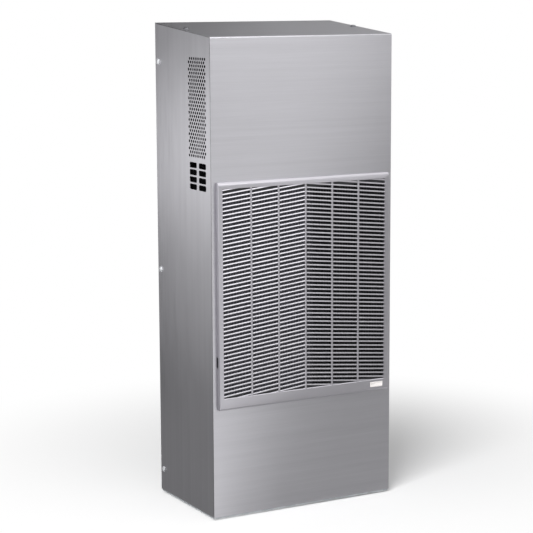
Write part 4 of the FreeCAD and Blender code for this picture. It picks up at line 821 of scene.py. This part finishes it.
for side in (1.0, -1.0):
    # The left half is swung over, so its slats are tilted the other way to face up as well.
    tilt = node(chevron, "ShaderNodeMath", {0: given["Slat tilt"], 1: side}, operation="MULTIPLY")
    slat = rod(given["Slat thickness"], given["Slat height"], tilt.outputs[0], (0, 0, 0), (1, 0, 0))
    swing = node(chevron, "ShaderNodeMath", {0: lean.outputs[0], 1: side, 2: 0.0 if side > 0 else math.pi},
                 operation="MULTIPLY_ADD")
    turn = node(chevron, "ShaderNodeCombineXYZ", {"Y": swing.outputs[0]})
    copies = node(chevron, "GeometryNodeInstanceOnPoints", {
        "Points": row.outputs[0], "Selection": kept.outputs[0], "Instance": slat,
        "Rotation": turn.outputs[0], "Scale": size.outputs[0]})
    start = node(chevron, "ShaderNodeMath", {0: inner_end.outputs[0], 1: side}, operation="MULTIPLY")
    shift = node(chevron, "ShaderNodeCombineXYZ", {"X": start.outputs[0], "Z": drop.outputs[0]})
    halves.append(node(chevron, "GeometryNodeTranslateInstances", {
        "Instances": copies.outputs[0], "Translation": shift.outputs[0], "Local Space": False}).outputs[0])
bar_row = node(chevron, "GeometryNodeMeshLine", {
    "Count": given["Bar count"], "Start Location": given["Bar first"], "Offset": given["Bar pitch"]},
    mode="OFFSET")
bar_foot = node(chevron, "ShaderNodeCombineXYZ", {"Z": given["Field low"]})
bar_top = node(chevron, "ShaderNodeCombineXYZ", {"Z": given["Field high"]})
bar = rod(given["Bar width"], given["Bar depth"], 0.0, bar_foot.outputs[0], bar_top.outputs[0])
bars = node(chevron, "GeometryNodeInstanceOnPoints", {"Points": bar_row.outputs[0], "Instance": bar})
moulding = node(chevron, "GeometryNodeJoinGeometry")
for part in (given["Geometry"], *halves, bars.outputs[0]):
    chevron.links.new(part, moulding.inputs[0])
close_tree(chevron, moulding.outputs[0], given["Finish"])
print("chevron tree has", len(chevron.nodes), "nodes")

# %% Grow the grille
slat_middle, bar_front, bar_back = -117.3, -118.5, -116.05
# The ends of slats and bars are buried in the rim.
bury, side_bury = 3.0, 1.5
grow(grille, chevron, {
    "Count": 55, "First": (0, slat_middle * mm, 229.86 * mm), "Pitch": (0, 0, 7.68 * mm),
    "Fall": 0.108, "Field low": (field_low - bury) * mm, "Field high": (field_high + bury) * mm,
    "Field half": (field_half + side_bury) * mm, "Slat height": 2.9 * mm, "Slat thickness": 1.2 * mm,
    "Slat tilt": math.radians(-24), "Bar count": 5,
    "Bar first": (-115.98 * mm, (bar_front + bar_back) / 2 * mm, 0),
    "Bar pitch": (57.99 * mm, 0, 0), "Bar width": 3.8 * mm, "Bar depth": (bar_back - bar_front) * mm,
    "Finish": finishes["grille_plastic"]})
low, high = [[round(f(v.co[axis] for v in grille.data.vertices) / mm, 2) for axis in range(3)]
             for f in (min, max)]
print("grille from", low, "to", high)
settle(grille, "grille", "grille_plastic", "front_grille")

# %% [markdown]
# ## The blank badge
# A small blank tile is glued to the lower right corner of the rim: a moulded plate with a raised border. It
# is lofted through rounded rectangles as the rim is, because its soft edges and its slightly sunken middle
# are what catch the light.

# %% Badge
badge_left, badge_right, badge_low, badge_high = 144.1, 172.3, 215.5, 225.3
badge_middle = (badge_left + badge_right) / 2
badge_half = (badge_right - badge_left) / 2
# How far each ring is drawn in, its depth and its corner radius.
badge_steps = [(0.0, -118.2, 1.2), (0.0, -118.75, 1.2), (0.3, -119.0, 0.9), (0.9, -119.0, 0.6),
               (1.2, -118.85, 0.4)]
badge_rings = [rounded_rectangle(badge_half - inset, badge_low + inset, badge_high - inset, depth, radius,
                                 shift=badge_middle) for inset, depth, radius in badge_steps]
badge = new_object("blank_badge", lofted("blank_badge", badge_rings, capped=True))
settle(badge, "grille", "badge_plate", "badge_plate")

# %% [markdown]
# ## Pleats and fins in rows
# The filter behind the grille is fleece folded into pleats, which gives a thin panel far more area. The two
# coils are stacks of thin rippled fins on copper tube. A pleat and a fin are both one thin section drawn
# upright and repeated in a row, so one tree that repeats a shape makes all three.

# %% A tree that repeats a shape
row_of, given = new_tree("shape_in_a_row", {
    "Shape": "Object", "Count": "Int", "First": "Vector", "Pitch": "Vector", "Finish": "Material"})
row = node(row_of, "GeometryNodeMeshLine", {
    "Count": given["Count"], "Start Location": given["First"], "Offset": given["Pitch"]}, mode="OFFSET")
shape = node(row_of, "GeometryNodeObjectInfo", {"Object": given["Shape"]})
copies = node(row_of, "GeometryNodeInstanceOnPoints", {
    "Points": row.outputs[0], "Instance": shape.outputs["Geometry"]})
close_tree(row_of, copies.outputs[0], given["Finish"])


def in_a_row(name, section, low, high, half, pitch, slot):
    """Draw an (x, y) section up from low to high, then repeat it across the width; sizes in mm."""
    count = round(2 * half / pitch)
    ends = [[(x, y, level) for x, y in section] for level in (low, high)]
    shape = new_object(name + "_shape", lofted(name + "_shape", ends, capped=True))
    made = grow(new_object(name, bpy.data.meshes.new(name)), row_of, {
        "Shape": shape, "Count": count, "First": ((pitch / 2 - half) * mm, 0, 0),
        "Pitch": (pitch * mm, 0, 0), "Finish": finishes[slot]})
    bpy.data.objects.remove(shape)
    print(name, "repeats", count, "times")
    return made


print("row tree has", len(row_of.nodes), "nodes")

# %% Pleated filter
pleat, fleece, crest, foot, crest_half, crest_drop = 6.0, 1.2, -116.0, -111.5, 0.5, 0.35
pleat_low, pleat_high, filter_half = 235.0, 613.6, 174.0
fold = [(-pleat / 2, foot - fleece), (-crest_half, crest + crest_drop), (0, crest),
        (crest_half, crest + crest_drop), (pleat / 2, foot - fleece), (pleat / 2, foot),
        (0, crest + fleece), (-pleat / 2, foot)]
filter_pleats = in_a_row("filter_pleats", fold, pleat_low, pleat_high, filter_half, pleat, "filter_media")
settle(filter_pleats, "grille", "filter_media", "filter_media")

# %% Coil fins
# Real fins are about 0.12 mm thick and 1.8 mm apart; they are drawn thicker so that they show. Each fin has
# collars that run to the next one, so the tubes are seen as aluminium sleeves and not as bare copper.
fin_thick, fin_pitch, ripple, ripple_steps = 0.35, 2.0, 0.4, 10
coil_depth, tube_rows, pass_pitch, pass_edge = 38.0, (10.0, 28.0), 30.0, 17.0
collar_inside, collar_outside = 4.55, 5.1
for coil, half, near, low, passes in (
        ("condenser", 150.0, -82.0, 222.0, 12), ("evaporator", 140.0, 66.0, 92.0, 10)):
    far, high = near + coil_depth, low + 2 * pass_edge + pass_pitch * (passes - 1)
    line = [(ripple * (step % 2), near + (far - near) * step / ripple_steps)
            for step in range(ripple_steps + 1)]
    section = line + [(x + fin_thick, y) for x, y in reversed(line)]
    stack = in_a_row(coil + "_fin_stack", section, low, high, half, fin_pitch, "fin_aluminium")
    settle(stack, "chassis", "fin_aluminium", coil + "_fins")
    wall = [(collar_inside, -half), (collar_outside, -half), (collar_outside, half), (collar_inside, half)]
    sleeve = turned("sleeve_shape", wall, 20, closed=True)
    seats = [((0, near + inset, low + pass_edge + pass_pitch * number), (1, 0, 0))
             for inset in tube_rows for number in range(passes)]
    collars = set_hardware(coil + "_collars", new_object("sleeve_shape", sleeve), seats, "fin_aluminium")
    settle(collars, "chassis", "fin_aluminium")

# %% [markdown]
# ## Thermostat knob and dial
# The knob sits in a cup in the back, with a fluted skirt to grip, a finger bar across it and a white line
# that points at the ring of marks. It would be one nylon moulding with the line pressed in, so the
# skirt is turned and then fluted, the bar is lofted on to it, and the line is a piece of its own because
# it is another material. The marks are bars on the cup floor, set by the hardware tree.

# %% Knob
knob_x, knob_z, knob_back = 120.0, 560.0, 100.2
flutes, flute_from, flute_depth = 24, 16.8, 0.04
# Radius and height in mm, from the middle of the underside out and up to the middle of the top.
skirt = turned("thermostat_knob_cap", [
    (0, 0), (17.0, 0), (17.7, 0.4), (18.0, 1.0), (18.0, 5.2), (17.5, 6.3), (16.5, 7.0), (14.2, 7.0),
    (13.8, 6.7), (0, 6.7)], 144)
for corner in skirt.vertices:
    reach = math.hypot(corner.co.x, corner.co.y) / mm
    wave = 0.5 - 0.5 * math.cos(flutes * math.atan2(corner.co.y, corner.co.x))
    if reach > flute_from:
        corner.co.x *= 1 - flute_depth * wave
        corner.co.y *= 1 - flute_depth * wave
skirt.transform(Matrix.Translation((knob_x * mm, knob_back * mm, knob_z * mm))
                @ Matrix.Rotation(math.radians(-90), 4, "X"))
# Half width, reach, depth and end radius of each ring of the finger bar, from its foot to its top.
bar_steps = [(2.5, 15.5, 106.2, 2.4), (2.5, 15.5, 110.6, 2.4), (2.2, 15.2, 111.5, 2.1),
             (1.5, 14.5, 111.95, 1.4)]
bar_rings = [rounded_rectangle(half, knob_z - reach, knob_z + reach, depth, radius, shift=knob_x)
             for half, reach, depth, radius in bar_steps]
bar_mesh = lofted("finger_bar", bar_rings, capped=True)
both = bmesh.new()
both.from_mesh(skirt)
both.from_mesh(bar_mesh)
bmesh.ops.recalc_face_normals(both, faces=both.faces)
both.to_mesh(skirt)
both.free()
settle(new_object("thermostat_knob_cap", skirt), "knob", "black_plastic", "thermostat_knob")

# %% Pointer and dial marks
# Half width and depth of each ring of the pointer, then of each ring of a mark.
pointer_steps = [(0.7, 111.5), (0.7, 112.05), (0.5, 112.2)]
mark_steps = [(0.5, -0.3), (0.5, 0.25), (0.35, 0.4)]
pointer_start, pointer_end = knob_z + 3.5, knob_z + 14.0
pointer_rings = [rounded_rectangle(half, pointer_start, pointer_end, depth, half * 0.9, shift=knob_x)
                 for half, depth in pointer_steps]
pointer = new_object("knob_pointer", lofted("knob_pointer", pointer_rings, capped=True))
settle(pointer, "knob", "badge_plate")
cup_floor, mark_start, mark_length, mark_round = 98.7, 20.0, 4.0, 0.3
mark_rings = [rounded_rectangle(half, 0, mark_length, depth, mark_round) for half, depth in mark_steps]
mark = new_object("mark_shape", lofted("mark_shape", mark_rings, capped=True))
mark_turn, marks_each_way = 27, 5
turns = [math.radians(mark_turn * step) for step in range(-marks_each_way, marks_each_way + 1)]
seats = [((knob_x + mark_start * math.sin(turn), cup_floor, knob_z + mark_start * math.cos(turn)),
          (math.sin(turn), 0, math.cos(turn))) for turn in turns]
settle(set_hardware("dial_marks", mark, seats, "black_plastic"), "chassis", "black_plastic")

# %% [markdown]
# ## Ribs of the fan wheels
# Each fan wheel is moulded in nylon, and low ribs run out from its hub like spokes to stiffen the flat
# hub disc. They show through the round return opening in the back. One rib is lofted from a few rings, tall
# at the hub and low at its outer end, and the hardware tree sets nine of them round each shaft.

# %% Fan wheel ribs
rib_count, rib_start, rib_corner, disc_thickness = 9, 14.0, 0.3, 2.0
# Half width, outer end and height above the disc of each ring of a rib, from its foot to its top.
rib_steps = [(2.0, 60.0, -0.4), (1.9, 59.5, 3.0), (1.6, 30.0, 12.0), (1.2, 29.0, 12.4)]
turns = [2 * math.pi * step / rib_count for step in range(rib_count)]
for fan in ("condenser", "evaporator"):
    disc_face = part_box(fan + "_impeller")[0][1] / mm + disc_thickness
    rib_rings = [rounded_rectangle(half, rib_start, end, height, rib_corner, steps=2)
                 for half, end, height in rib_steps]
    rib = new_object("rib_shape", lofted("rib_shape", rib_rings, capped=True))
    seats = [((0, disc_face, fan_height / mm), (math.sin(turn), 0, math.cos(turn))) for turn in turns]
    settle(set_hardware(fan + "_wheel_ribs", rib, seats, "black_plastic"), fan + "_rotor", "black_plastic")
